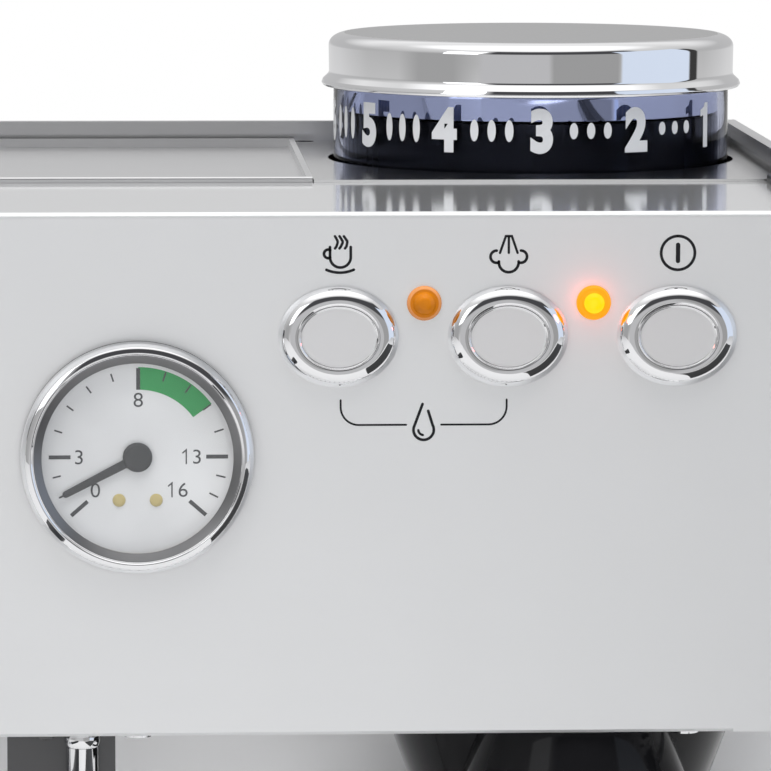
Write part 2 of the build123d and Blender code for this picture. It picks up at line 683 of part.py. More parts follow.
with BuildPart() as gauge_housing:
    turn_front(GAUGE, (21.1, 0.3), (22.3, 0.3), (22.3, -28), (0, -28), (0, -26.5), (21.1, -26.5))
    # the movement and its C-shaped Bourdon tube, open at the lower left
    gauge_x, gauge_z = GAUGE
    with Locations(Location((gauge_x, y(13), gauge_z), (90, 0, 0))):
        Torus(15.5, 2.4)
    block((gauge_x - 20, gauge_x - 8.5), (8, 18), (gauge_z - 20, gauge_z), mode=Mode.SUBTRACT)
    block((gauge_x - 8, gauge_x + 8), (8, 18), (gauge_z - 10, gauge_z + 8))
    rod(GAUGE, 0.75 + RUNNING, (7, 16), mode=Mode.SUBTRACT)
    block((gauge_x - 4, gauge_x + 4), (18, 27), (gauge_z - 10, gauge_z - 2))
    block((gauge_x - 2.4, gauge_x + 2.4), (10.6, 15.4), (gauge_z - 16, gauge_z - 9))
finish("gauge_housing", gauge_housing)

NEEDLE_REST = -117.3  # degrees from straight up, clockwise seen from the front
with BuildPart() as gauge_needle:
    turn_front(GAUGE, (0, -9), (0.75, -9), (0.75, 0.55), (3.2, 0.55), (3.2, 1.2), (2.6, 1.5), (0, 1.5))
    with BuildSketch(facing(-0.6)):
        with Locations(Location((gauge_x, gauge_z, 0), -NEEDLE_REST)):
            Polygon((-1.0, 0), (1.0, 0), (0.55, 19), (-0.55, 19), align=None)
    extrude(amount=0.5)
finish("gauge_needle", gauge_needle)

# ---------------------------------------------------------------- grinder
COLLAR_R = 47.7
LID_SEAT = DECK_Z + 17.4  # top of the collar
with BuildPart() as hopper_collar:
    turn_up(GRINDER, (45.5, 332), (COLLAR_R, 332), (COLLAR_R, LID_SEAT), (45.5, LID_SEAT))
finish("hopper_collar", hopper_collar)

FUNNEL_RIM = DECK_Z + 11.2
with BuildPart() as hopper_funnel:
    turn_up(
        GRINDER,
        (45.5, FUNNEL_RIM),
        (43.3, FUNNEL_RIM),
        (43.3, 347),
        (17, 321),
        (17, 308),
        (19.5, 308),
        (19.5, 319.5),
        (45.5, 345),
    )
    # the carrier that holds the outer burr
    turn_up(GRINDER, (19.5, 316), (31, 316), (31, 285), (28, 285), (28, 303), (19.5, 303))
    turn_up(GRINDER, (17, 303), (19.6, 303), (19.6, 310), (17, 310))
finish("hopper_funnel", hopper_funnel)


def flutes(place, count, radii, zs, width, lean):
    """Cuts leaning grooves round a burr, each from the lower radius to the upper one."""
    base_x, base_y = place[0], y(place[1])
    for step in range(count):
        angle = 360 / count * step
        low = Vector(radii[0], 0, zs[0]).rotate(Axis.Z, angle)
        high = Vector(radii[1], 0, zs[1]).rotate(Axis.Z, angle + lean)
        low += Vector(base_x, base_y, 0)
        high += Vector(base_x, base_y, 0)
        with BuildSketch(Plane(origin=low, z_dir=high - low)) as groove:
            Circle(width)
        extrude(groove.sketch, amount=(high - low).length, mode=Mode.SUBTRACT)


with BuildPart() as outer_burr:
    turn_up(GRINDER, (15.5, 303), (28, 303), (28, 285), (19.6, 285))
    flutes(GRINDER, 18, (19.8, 15.3), (284, 304), 0.9, 16)
finish("outer_burr", outer_burr)

with BuildPart() as inner_burr:
    turn_up(GRINDER, (4, 303), (8, 303), (18.9, 284), (18.9, 280), (4, 280))
    flutes(GRINDER, 12, (19.4, 7.6), (281, 304), 1.4, 24)
finish("inner_burr", inner_burr)

with BuildPart() as grinder_housing:
    turn_up(
        GRINDER,
        (4 + RUNNING, 258),
        (36, 258),
        (36, 301),
        (31.6, 301),
        (31.6, 263),
        (4 + RUNNING, 263),
    )
    block((NOZZLE[0] - 7.5, NOZZLE[0] + 7.5), (GRINDER[1] - 40, GRINDER[1] - 25), (265, 279), mode=Mode.SUBTRACT)
    # the gear case hangs under it
    for place, radius in ((GRINDER, 34.5), (MOTOR, 11.5)):
        post(place, radius, (238.2, 258))
    for place, radius in ((GRINDER, 32.5), (MOTOR, 9.5)):
        post(place, radius, (240.2, 256), mode=Mode.SUBTRACT)
    post(GRINDER, 4 + RUNNING, (255, 264), mode=Mode.SUBTRACT)
    post(MOTOR, 3 + RUNNING, (237, 241), mode=Mode.SUBTRACT)
finish("grinder_housing", grinder_housing)

GEAR_TEETH = 60
PINION_TEETH = 14
TOOTH = 1.0  # module


def gear(place, teeth, zs, turn):
    """A spur gear with straight-sided teeth and some backlash."""
    pitch = teeth * TOOTH / 2
    root = pitch - 1.3 * TOOTH
    top = pitch + 0.8 * TOOTH
    with BuildSketch(level(zs[0])) as teeth_outline:
        with Locations((place[0], y(place[1]))):
            Circle(root)
        for step in range(teeth):
            with Locations(Location((place[0], y(place[1]), 0), turn + 360 / teeth * step)):
                Polygon((root - 0.4, -0.72), (top, -0.3), (top, 0.3), (root - 0.4, 0.72), align=None)
    extrude(teeth_outline.sketch, amount=zs[1] - zs[0])


MESH_ANGLE = 180 - 17.31  # direction from the burrs' axis to the motor's
GEAR_Z = (243.0, 251.0)
with BuildPart() as drive_gear:
    gear(GRINDER, GEAR_TEETH, GEAR_Z, MESH_ANGLE)
    post(GRINDER, 4, (GEAR_Z[0] - 1, GEAR_Z[1] + 1), mode=Mode.SUBTRACT)
finish("drive_gear", drive_gear)

with BuildPart() as grinder_shaft:
    post(GRINDER, 4, (241, 305))
    post(GRINDER, 6.5, (303, 307))
finish("grinder_shaft", grinder_shaft)

with BuildPart() as motor_pinion:
    gear(MOTOR, PINION_TEETH, (GEAR_Z[0] - 0.5, GEAR_Z[1] + 0.5), MESH_ANGLE + 180 * (1 + 1 / PINION_TEETH))
    post(MOTOR, 3, (180, 254))
finish("motor_pinion", motor_pinion)

MOTOR_R = 33.0
MOTOR_Z = (140.0, 234.0)
CAN_WALL = 6.0
ROTOR_R = 17.0
LEG_OUT = 14.0  # from the motor's axis, along X and Y
with BuildPart() as grinder_motor:
    post(MOTOR, MOTOR_R, MOTOR_Z)
    fillet(grinder_motor.edges(), 3)
    post(MOTOR, 14, (MOTOR_Z[1], 238.2))
    # windings and rotor fill the can only in part
    post(MOTOR, MOTOR_R - CAN_WALL, (MOTOR_Z[0] + CAN_WALL, MOTOR_Z[1] - CAN_WALL), mode=Mode.SUBTRACT)
    post(MOTOR, ROTOR_R, (MOTOR_Z[0] + 1, MOTOR_Z[1] - 1))
    post(MOTOR, 3 + RUNNING, (178, 240), mode=Mode.SUBTRACT)
    # it stands on four posts
    for sx, sd in ((-1, -1), (-1, 1), (1, -1), (1, 1)):
        post((MOTOR[0] + sx * LEG_OUT, MOTOR[1] + sd * LEG_OUT), 4, (BASE_Z + PAN_WALL, MOTOR_Z[0] + 2))
finish("grinder_motor", grinder_motor)

DUCT_HALF = 9.0
with BuildPart() as grinder_chute:
    duct_x = NOZZLE[0] - DUCT_HALF
    outer_line = ((105.9, 263), (105.9, 281), (38, 262), (13, 262), (13, 237), (33, 237), (33, 243))
    inner_line = ((110, 264.5), (110, 280.3), (37.8, 260.5), (14.5, 260.5), (14.5, 235), (31.5, 235), (31.5, 244))
    extrude(outline(side(duct_x), *[(y(d), z) for d, z in outer_line]), amount=2 * DUCT_HALF)
    inner_face = outline(side(duct_x + 1.5), *[(y(d), z) for d, z in inner_line])
    extrude(inner_face, amount=2 * DUCT_HALF - 3, mode=Mode.SUBTRACT)
finish("grinder_chute", grinder_chute)

FLARE = tan(radians(20))  # both cones slope at 20 degrees
CONE_TOP = CEILING_Z


def cone_radius(z):
    return 37.5 + (z - 224.6) * FLARE


def nozzle_radius(z):
    return 21.2 + (232.7 - z) * FLARE


NOZZLE_Z = (212.0, PANEL_Z - 0.4)
with BuildPart() as dosing_cone:
    low = 204.0
    turn_up(
        CONE,
        (cone_radius(low) - 2, low),
        (cone_radius(low), low),
        (cone_radius(CONE_TOP), CONE_TOP),
        (cone_radius(CONE_TOP) - 2, CONE_TOP),
    )
    turn_up(
        NOZZLE,
        (0, low - 1),
        (nozzle_radius(low - 1) + 0.1, low - 1),
        (nozzle_radius(CONE_TOP + 1) + 0.1, CONE_TOP + 1),
        (0, CONE_TOP + 1),
        mode=Mode.SUBTRACT,
    )
    block((60, 146), (0, FLANGE_DEPTH + 0.5), (200, 240), mode=Mode.SUBTRACT)
finish("dosing_cone", dosing_cone)

with BuildPart() as dosing_nozzle:
    low, high = NOZZLE_Z
    turn_up(
        NOZZLE,
        (nozzle_radius(low) - 2.2, low),
        (nozzle_radius(low), low),
        (nozzle_radius(high), high),
        (nozzle_radius(high) - 2.2, high),
    )
finish("dosing_nozzle", dosing_nozzle)

FORK_Z = (184.0, 189.0)
SWITCH_Z = 196.0
with BuildPart() as portafilter_fork:
    block((FORK[0] - 44, FORK[0] + 44), (2, RECESS), FORK_Z)
    fillet(portafilter_fork.edges().filter_by(Axis.Z).group_by(Axis.Y)[0], 10)
    post(FORK, 33.5, (FORK_Z[0] - 1, FORK_Z[1] + 1), mode=Mode.SUBTRACT)
    block((FORK[0] - 28, FORK[0] + 28), (-5, FORK[1]), (FORK_Z[0] - 1, FORK_Z[1] + 1), mode=Mode.SUBTRACT)
    block((FORK[0] - 16, FORK[0] + 16), (84, RECESS), (FORK_Z[1], 203.5))
    rod((FORK[0], SWITCH_Z), 4.5 + RUNNING, (80, 103), mode=Mode.SUBTRACT)
finish("portafilter_fork", portafilter_fork)

with BuildPart() as grind_button:
    rod((FORK[0], SWITCH_Z), 4.5, (78, 98))
    fillet(grind_button.edges().sort_by(Axis.Y)[0], 1.2)
finish("grind_button", grind_button)

with BuildPart() as hopper_lid:
    LID_TOP = DECK_Z + 30.3
    SEAT = LID_SEAT + MOVE_GAP
    PLUG_Z = FUNNEL_RIM + 0.5  # lower edge of the plug inside the collar
    lid_plane = Plane(origin=(GRINDER[0], y(GRINDER[1]), 0), x_dir=(1, 0, 0), z_dir=(0, -1, 0))
    with BuildSketch(lid_plane):
        with BuildLine():
            Polyline((44.2, PLUG_Z), (45.1, PLUG_Z), (45.1, SEAT), (50.7, SEAT), (50.7, SEAT + 1.0))
            Line((50.7, SEAT + 1.0), (48.9, SEAT + 1.8))
            Line((48.9, SEAT + 1.8), (48.9, LID_TOP - 4.6))
            Spline((48.9, LID_TOP - 4.6), (47.4, LID_TOP - 1.4), (44.2, LID_TOP), tangents=((0, 1), (-1, 0.1)))
            Polyline((44.2, LID_TOP), (0, LID_TOP), (0, LID_TOP - 1.2), (44.2, LID_TOP - 1.2), (44.2, PLUG_Z))
        make_face()
    revolve(axis=Axis((GRINDER[0], y(GRINDER[1]), 0), (0, 0, 1)))
finish("hopper_lid", hopper_lid)

# ---------------------------------------------------------------- drip tray
TRAY_HALF = 157.2
TRAY_WALL = 2.0
TRAY_REAR = RECESS - 1.5
TRAY_LEDGE = (52.0, 54.0)  # z of the inner ledge that carries the grille
with BuildPart() as drip_tray:
    floor_z = BASE_Z + PAN_WALL + MOVE_GAP
    block((-TRAY_HALF, TRAY_HALF), (BASE_FRONT, TRAY_REAR), (floor_z, 58))
    fillet(drip_tray.edges().filter_by(Axis.Z).group_by(Axis.Y)[0], 3)
    # the well, the opening inside the ledge, and the seat above it
    for inset, zs in (
        (TRAY_WALL, (floor_z + TRAY_WALL, TRAY_LEDGE[0])),
        (2.5 * TRAY_WALL, (TRAY_LEDGE[0], TRAY_LEDGE[1])),
        (TRAY_WALL, (TRAY_LEDGE[1], 60)),
    ):
        well_x = (-TRAY_HALF + inset, TRAY_HALF - inset)
        block(well_x, (BASE_FRONT + inset, TRAY_REAR - inset), zs, mode=Mode.SUBTRACT)
finish("drip_tray", drip_tray)

with BuildPart() as drip_grille:
    grille_in = TRAY_WALL + MOVE_GAP
    grille_x = TRAY_HALF - grille_in
    grille_d = (BASE_FRONT + grille_in, TRAY_REAR - grille_in)
    block((-grille_x, grille_x), grille_d, (TRAY_LEDGE[1] + MOVE_GAP, 57.2))
    slots = [
        (-135 + 18 * column, y(-30 + 30 * row), 56)
        for column in range(16)
        for row in range(5)
    ]
    with Locations(slots):
        Box(4.5, 22, 10, mode=Mode.SUBTRACT)
finish("drip_grille", drip_grille)

# ---------------------------------------------------------------- export
os.makedirs("parts", exist_ok=True)
for name, solid in pieces.items():
    export_step(solid, f"parts/{name}.step")
print(len(pieces), "parts written")
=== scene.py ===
"""Looks of the espresso machine: materials, fine shapes, printed marks, studio light and camera."""

import json
import math

import bmesh
import bpy
from mathutils import Matrix, Vector


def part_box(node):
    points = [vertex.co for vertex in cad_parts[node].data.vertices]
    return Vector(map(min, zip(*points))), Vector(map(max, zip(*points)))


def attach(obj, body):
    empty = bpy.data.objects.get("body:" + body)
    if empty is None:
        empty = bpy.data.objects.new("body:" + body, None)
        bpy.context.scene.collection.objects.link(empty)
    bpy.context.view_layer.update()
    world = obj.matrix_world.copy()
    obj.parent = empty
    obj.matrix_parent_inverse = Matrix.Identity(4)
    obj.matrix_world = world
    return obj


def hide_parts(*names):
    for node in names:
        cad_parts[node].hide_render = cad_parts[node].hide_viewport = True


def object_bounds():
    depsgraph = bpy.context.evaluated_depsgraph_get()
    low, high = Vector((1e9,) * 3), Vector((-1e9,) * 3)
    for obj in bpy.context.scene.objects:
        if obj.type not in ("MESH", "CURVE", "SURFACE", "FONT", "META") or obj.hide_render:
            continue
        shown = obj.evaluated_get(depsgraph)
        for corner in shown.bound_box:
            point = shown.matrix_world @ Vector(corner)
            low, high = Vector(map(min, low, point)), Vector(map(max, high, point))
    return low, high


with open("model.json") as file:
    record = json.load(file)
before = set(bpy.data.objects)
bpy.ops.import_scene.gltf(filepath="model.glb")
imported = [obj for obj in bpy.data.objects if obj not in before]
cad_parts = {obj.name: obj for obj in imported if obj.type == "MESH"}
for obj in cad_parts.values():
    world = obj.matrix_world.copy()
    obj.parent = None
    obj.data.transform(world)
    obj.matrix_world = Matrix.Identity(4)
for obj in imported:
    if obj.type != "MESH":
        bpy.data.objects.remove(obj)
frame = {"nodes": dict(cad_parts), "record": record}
cad_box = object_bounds()

MM = 0.001
NODES = frame["nodes"]
BODY_OF = {node: body for body, members in frame["record"]["behaviour"]["bodies"].items() for node in members}

# ---------------------------------------------------------------- places, all read from the frame
FACE_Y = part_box("front_panel")[0].y  # the front panel's face
LEDGE_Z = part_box("front_panel")[1].z
DECK_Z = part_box("grinder_deck")[1].z


def middle(node):
    low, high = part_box(node)
    return (low + high) / 2


GAUGE = Vector((middle("gauge_bezel").x, FACE_Y, middle("gauge_bezel").z))
HOPPER = Vector((middle("hopper_collar").x, middle("hopper_collar").y, DECK_Z))
BUTTONS = ("button_coffee", "button_steam", "button_power")


# ---------------------------------------------------------------- material tools
def new_material(name):
    material = bpy.data.materials.new(name)
    material.use_nodes = True
    return material, material.node_tree, material.node_tree.nodes["Principled BSDF"]


def node(tree, kind, **inputs):
    made = tree.nodes.new(kind)
    for key, value in inputs.items():
        if hasattr(made, key):
            setattr(made, key, value)
        else:
            made.inputs[key.replace("_", " ")].default_value = value
    return made


def stretched_noise(tree, stretch, detail=4.0):
    """Noise in object space, drawn out by different amounts along the three axes."""
    place = node(tree, "ShaderNodeTexCoord")
    mapping = node(tree, "ShaderNodeMapping")
    mapping.inputs["Scale"].default_value = stretch
    noise = node(tree, "ShaderNodeTexNoise", Scale=1.0, Detail=detail)
    tree.links.new(place.outputs["Object"], mapping.inputs["Vector"])
    tree.links.new(mapping.outputs["Vector"], noise.inputs["Vector"])
    return noise


def ranged(tree, value, low, high, from_low=0.0, from_high=1.0):
    spread = node(tree, "ShaderNodeMapRange")
    for index, number in enumerate((from_low, from_high, low, high), start=1):
        spread.inputs[index].default_value = number
    tree.links.new(value, spread.inputs[0])
    return spread.outputs[0]


def bumped(tree, shader, height, strength, distance):
    bump = node(tree, "ShaderNodeBump", Strength=strength, Distance=distance)
    tree.links.new(height, bump.inputs["Height"])
    tree.links.new(bump.outputs["Normal"], shader.inputs["Normal"])


def blotched(tree, shader, colour, spread, scale):
    """Gives the base colour slow, faint variation."""
    noise = stretched_noise(tree, (scale, scale, scale), 3.0)
    ramp = node(tree, "ShaderNodeValToRGB")
    ramp.color_ramp.elements[0].position = 0.3
    ramp.color_ramp.elements[1].position = 0.7
    ramp.color_ramp.elements[0].color = [c * (1 - spread) for c in colour] + [1]
    ramp.color_ramp.elements[1].color = [min(1, c * (1 + spread)) for c in colour] + [1]
    tree.links.new(noise.outputs["Fac"], ramp.inputs["Fac"])
    tree.links.new(ramp.outputs["Color"], shader.inputs["Base Color"])


def brushed_steel(name, colour, rough, grain=(900.0, 900.0, 6.0), polished_top=None, metal=1.0):
    """Satin steel with fine grain. polished_top is the roughness of faces that look up, and metal the
    share of the light that it reflects as bare metal, the rest being scattered by the satin finish."""
    material, tree, shader = new_material(name)
    shader.inputs["Metallic"].default_value = metal
    blotched(tree, shader, colour, 0.02, 9.0)
    noise = stretched_noise(tree, grain)
    roughness = ranged(tree, noise.outputs["Fac"], rough * 0.85, rough * 1.15)
    if polished_top is not None:
        geometry = node(tree, "ShaderNodeNewGeometry")
        split = node(tree, "ShaderNodeSeparateXYZ")
        tree.links.new(geometry.outputs["Normal"], split.inputs["Vector"])
        upward = ranged(tree, split.outputs["Z"], 0.0, 1.0, 0.3, 0.9)
        mix = node(tree, "ShaderNodeMix")
        mix.data_type = "FLOAT"
        mix.inputs[3].default_value = polished_top
        tree.links.new(upward, mix.inputs[0])
        tree.links.new(roughness, mix.inputs[2])
        roughness = mix.outputs[0]
    tree.links.new(roughness, shader.inputs["Roughness"])
    bumped(tree, shader, noise.outputs["Fac"], 0.03, 0.0002)
    return material


def polished(name, colour, rough):
    """Chrome plate with very faint waviness."""
    material, tree, shader = new_material(name)
    shader.inputs["Metallic"].default_value = 1.0
    blotched(tree, shader, colour, 0.015, 30.0)
    noise = stretched_noise(tree, (60.0, 60.0, 60.0), 2.0)
    tree.links.new(ranged(tree, noise.outputs["Fac"], rough * 0.7, rough * 1.3), shader.inputs["Roughness"])
    return material


def moulded(name, colour, rough, texture=0.0, gloss=0.5):
    """Moulded plastic, rubber or ink, with a fine sparked texture. gloss is the specular level."""
    material, tree, shader = new_material(name)
    blotched(tree, shader, colour, 0.08, 40.0)
    shader.inputs["Specular IOR Level"].default_value = gloss
    noise = stretched_noise(tree, (1400.0, 1400.0, 1400.0), 2.0)
    tree.links.new(ranged(tree, noise.outputs["Fac"], rough * 0.8, rough * 1.2), shader.inputs["Roughness"])
    if texture:
        bumped(tree, shader, noise.outputs["Fac"], texture, 0.0003)
    return material


def clear(name, colour, alpha, rough=0.03, ior=1.45, transmission=0.0):
    material, tree, shader = new_material(name)
    blotched(tree, shader, colour, 0.02, 20.0)
    shader.inputs["Roughness"].default_value = rough
    shader.inputs["IOR"].default_value = ior
    shader.inputs["Alpha"].default_value = alpha
    shader.inputs["Transmission Weight"].default_value = transmission
    return material


def glowing(name, colour, glow, strength, rough=0.2):
    """Translucent lamp plastic that emits light where strength isn't 0: lit from inside on a lit lamp, and a
    faint painted glow on an unlit one.
    """
    material, tree, shader = new_material(name)
    blotched(tree, shader, colour, 0.06, 300.0)
    shader.inputs["Roughness"].default_value = rough
    shader.inputs["Specular IOR Level"].default_value = 0.25
    shader.inputs["Emission Color"].default_value = (*glow, 1)
    shader.inputs["Emission Strength"].default_value = strength
    return material


M = {
    "front": brushed_steel(
        "steel_front", (0.93, 0.935, 0.94), 0.46, (6.0, 900.0, 900.0), polished_top=0.10, metal=0.8
    ),
    "steel": brushed_steel("steel_panels", (0.72, 0.72, 0.725), 0.32, (900.0, 6.0, 900.0)),
    "deck": brushed_steel("steel_deck", (0.84, 0.84, 0.84), 0.14, (900.0, 900.0, 900.0)),
    # painted dark reflection: a dark steel colour for parts of the gauge bezel, in place of the dark
    # surroundings they reflect
    "rim_painted_dark_reflection": brushed_steel("steel_rim_painted_dark_reflection", (0.24, 0.24, 0.245), 0.38, (900.0, 900.0, 900.0)),
    "tray": brushed_steel("steel_tray", (0.76, 0.76, 0.765), 0.34, (6.0, 900.0, 900.0)),
    "light_steel": brushed_steel("steel_light", (0.92, 0.92, 0.925), 0.5, (900.0, 900.0, 900.0), metal=0.6),
    "button": brushed_steel("steel_button", (0.93, 0.925, 0.93), 0.42, (1500.0, 1500.0, 1500.0), metal=0.86),
    "lid_top": brushed_steel("steel_lid_top", (0.52, 0.52, 0.52), 0.30, (800.0, 800.0, 800.0)),
    "chrome": polished("chrome", (0.84, 0.84, 0.85), 0.03),
    "black_gloss": moulded("black_gloss", (0.008, 0.008, 0.009), 0.10, gloss=0.12),
    "black_sheen": moulded("black_sheen", (0.055, 0.055, 0.058), 0.20, gloss=0.8),
    "black": moulded("black_matte", (0.022, 0.022, 0.023), 0.45, texture=0.25),
    "rubber": moulded("rubber", (0.018, 0.018, 0.018), 0.70, texture=0.4),
    "collar": clear("collar_violet", (0.68, 0.72, 0.885), 1.0, 0.02, 1.1, 1.0),
    "tank": clear("tank_clear", (0.85, 0.92, 0.96), 0.35, 0.1),
    "glass": clear("gauge_glass", (0.6, 0.63, 0.63), 0.03, 0.02),
    "dial": moulded("dial_white", (0.72, 0.725, 0.735), 0.45, gloss=0.3),
    "ink": moulded("dark_ink", (0.016, 0.016, 0.018), 0.6, gloss=0.1),
    "tick": moulded("tick_ink", (0.085, 0.085, 0.09), 0.5, gloss=0.2),
    "needle": moulded("needle_grey", (0.072, 0.072, 0.075), 0.4, gloss=0.3),
    "green": moulded("dial_green", (0.055, 0.32, 0.11), 0.45, gloss=0.2),
    "number": moulded("number_white", (0.74, 0.75, 0.77), 0.4, gloss=0.3),
    "brass": brushed_steel("brass", (0.72, 0.55, 0.22), 0.25, (500.0, 500.0, 500.0)),
    "rivet": moulded("dial_rivet", (0.52, 0.43, 0.20), 0.35),
    "copper": brushed_steel("copper", (0.75, 0.38, 0.22), 0.25, (500.0, 500.0, 500.0)),
    "burr": brushed_steel("burr_steel", (0.35, 0.35, 0.36), 0.35, (700.0, 700.0, 40.0)),
    "alloy": brushed_steel("cast_alloy", (0.50, 0.50, 0.51), 0.5, (300.0, 300.0, 300.0)),
    "motor": moulded("motor_grey", (0.10, 0.11, 0.12), 0.5, texture=0.1),
    "board": moulded("board_green", (0.02, 0.14, 0.05), 0.4),
    # the unlit ready lamp's emission is a faint painted glow, standing in for light that shines through its
    # amber plastic
    "unlit_lens_painted_glow": glowing("lamp_amber", (0.50, 0.155, 0.002), (0.62, 0.20, 0.002), 0.10, 0.2),
    "unlit_rim_painted_glow": glowing("amber_rim_painted_glow", (0.66, 0.27, 0.09), (0.62, 0.28, 0.08), 0.05, 0.2),
    "lamp_lit": glowing("lamp_lit_core", (0.12, 0.07, 0.001), (1.0, 0.72, 0.001), 0.97),
    "lamp_lit_rim": glowing("lamp_lit_rim", (0.4, 0.1, 0.004), (1.0, 0.36, 0.002), 0.85),
}

FINISH = {
    "front_panel": "front",
    "side_panel_left": "steel",
    "side_panel_right": "steel",
    "back_panel": "steel",
    "grinder_deck": "deck",
    "cup_tray": "tray",
    "backsplash": "light_steel",
    "base_pan": "black",
    "feet": "rubber",
    "case_screws": "chrome",
    "power_inlet": "black",
    "side_trims": "black",
    "inner_frame": "steel",
    "boiler": "brass",
    "group_head": "chrome",
    "group_gasket": "rubber",
    "shower_screen": "light_steel",
    "portafilter": "chrome",
    "filter_basket": "light_steel",
    "portafilter_handle": "black",
    "solenoid_valve": "brass",
    "water_tank": "tank",
    "pump": "motor",
    "copper_pipes": "copper",
    "control_board": "board",
    "steam_valve": "chrome",
    "steam_knob": "black",
    "wand_bracket": "black_sheen",
    "wand_ball": "chrome",
    "wand_pipe": "chrome",
    "wand_grip": "rubber",
    "button_rings": "chrome",
    "button_coffee": "button",
    "button_steam": "button",
    "button_power": "button",
    "switches": "black",
    # the unlit ready lamp carries a faint painted glow
    "lamp_ready": "unlit_lens_painted_glow",
    "lamp_power": "lamp_lit",
    "gauge_bezel": "chrome",
    "gauge_glass": "glass",
    "gauge_dial": "dial",
    "gauge_housing": "brass",
    "gauge_needle": "needle",
    "hopper_collar": "collar",
    "hopper_funnel": "black_gloss",
    "outer_burr": "burr",
    "inner_burr": "burr",
    "grinder_housing": "alloy",
    "drive_gear": "black",
    "grinder_shaft": "burr",
    "motor_pinion": "burr",
    "grinder_motor": "motor",
    "grinder_chute": "black",
    "dosing_cone": "black_gloss",
    "dosing_nozzle": "black_gloss",
    "portafilter_fork": "black",
    "grind_button": "black_gloss",
    "hopper_lid": "chrome",
    "drip_tray": "steel",
    "drip_grille": "light_steel",
}
for name, obj in NODES.items():
    obj.data.materials.clear()
    obj.data.materials.append(M[FINISH[name]])


# ---------------------------------------------------------------- shape tools
def make_object(name, mesh, material, body, sharp=35.0):
    """Shades a mesh smooth up to an edge angle, and rides it on a body."""
    mesh.update()
    for polygon in mesh.polygons:
        polygon.use_smooth = len(polygon.vertices) <= 4  # caps stay flat
    mesh.set_sharp_from_angle(angle=math.radians(sharp))
    obj = bpy.data.objects.new(name, mesh)
    bpy.context.scene.collection.objects.link(obj)
    materials = material if isinstance(material, (list, tuple)) else [material]
    for item in materials:
        obj.data.materials.append(M[item])
    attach(obj, body)
    return obj


def from_bmesh(name, bm, material, body, sharp=35.0):
    bmesh.ops.remove_doubles(bm, verts=bm.verts, dist=1e-7)
    bmesh.ops.recalc_face_normals(bm, faces=bm.faces)
    mesh = bpy.data.meshes.new(name)
    bm.to_mesh(mesh)
    bm.free()
    return make_object(name, mesh, material, body, sharp)


def softened(points, radius, steps=5):
    """Rounds the corners of an outline. radius is one number, or one for each point, 0 leaving it sharp."""
    radii = radius if isinstance(radius, (list, tuple)) else [radius] * len(points)
    smooth = []
    count = len(points)
    for index, (point, want) in enumerate(zip(points, radii)):
        corner = Vector(point)
        before = Vector(points[index - 1]) - corner
        after = Vector(points[(index + 1) % count]) - corner
        if want <= 0 or before.length < 1e-9 or after.length < 1e-9:
            smooth.append(tuple(corner))
            continue
        angle = before.angle(after)
        if angle > math.radians(172):
            smooth.append(tuple(corner))
            continue
        reach = min(want / math.tan(angle / 2), before.length * 0.48, after.length * 0.48)
        start = corner + before.normalized() * reach
        end = corner + after.normalized() * reach
        for step in range(steps + 1):
            t = step / steps
            smooth.append(tuple((1 - t) ** 2 * start + 2 * t * (1 - t) * corner + t**2 * end))
    return smooth


def swept(name, profile, place, material, body, steps=180, sharp=35.0, paint=None, capped=False):
    """Sweeps a profile round a loop. place(point, angle) gives a point's position in metres, and
    paint(point, point) the index of an edge's material. A capped profile is open, and flat faces close
    the loops of its first and last points."""
    bm = bmesh.new()
    rings = []
    for step in range(steps):
        angle = 2 * math.pi * step / steps
        rings.append([bm.verts.new(place(point, angle)) for point in profile])
    count = len(profile)
    for step in range(steps):
        here, there = rings[step], rings[(step + 1) % steps]
        for index in range(count - 1 if capped else count):
            after = (index + 1) % count
            face = bm.faces.new((here[index], here[after], there[after], there[index]))
            if paint:
                face.material_index = paint(profile[index], profile[after])
    if capped:
        for index in (0, -1):
            face = bm.faces.new([ring[index] for ring in rings])
            if paint:
                face.material_index = paint(profile[index], profile[index])
    return from_bmesh(name, bm, material, body, sharp)


def turned_up(centre):
    """Placer for a profile of (radius, height) in mm round a vertical axis."""
    def place(point, angle):
        radius, height = point
        return centre + Vector((radius * math.cos(angle), radius * math.sin(angle), height)) * MM
    return place


def turned_front(centre):
    """Placer for a profile of (radius, distance towards the user) in mm round a Y axis."""
    def place(point, angle):
        radius, out = point
        return centre + Vector((radius * math.cos(angle), -out, radius * math.sin(angle))) * MM
    return place


def oval_front(centre, outer, inner):
    """Placer for a profile of (share of the way from the outer oval to the inner one, distance out)."""
    def place(point, angle):
        share, out = point
        across = (outer[0] + (inner[0] - outer[0]) * share) * math.cos(angle)
        up = (outer[1] + (inner[1] - outer[1]) * share) * math.sin(angle)
        return centre + Vector((across, -out, up)) * MM
    return place


def arc(centre, radius, start, end, steps=16):
    """Points of an arc, angles in degrees from +X, counter-clockwise."""
    points = []
    for step in range(steps + 1):
        angle = math.radians(start + (end - start) * step / steps)
        points.append((centre[0] + radius * math.cos(angle), centre[1] + radius * math.sin(angle)))
    return points


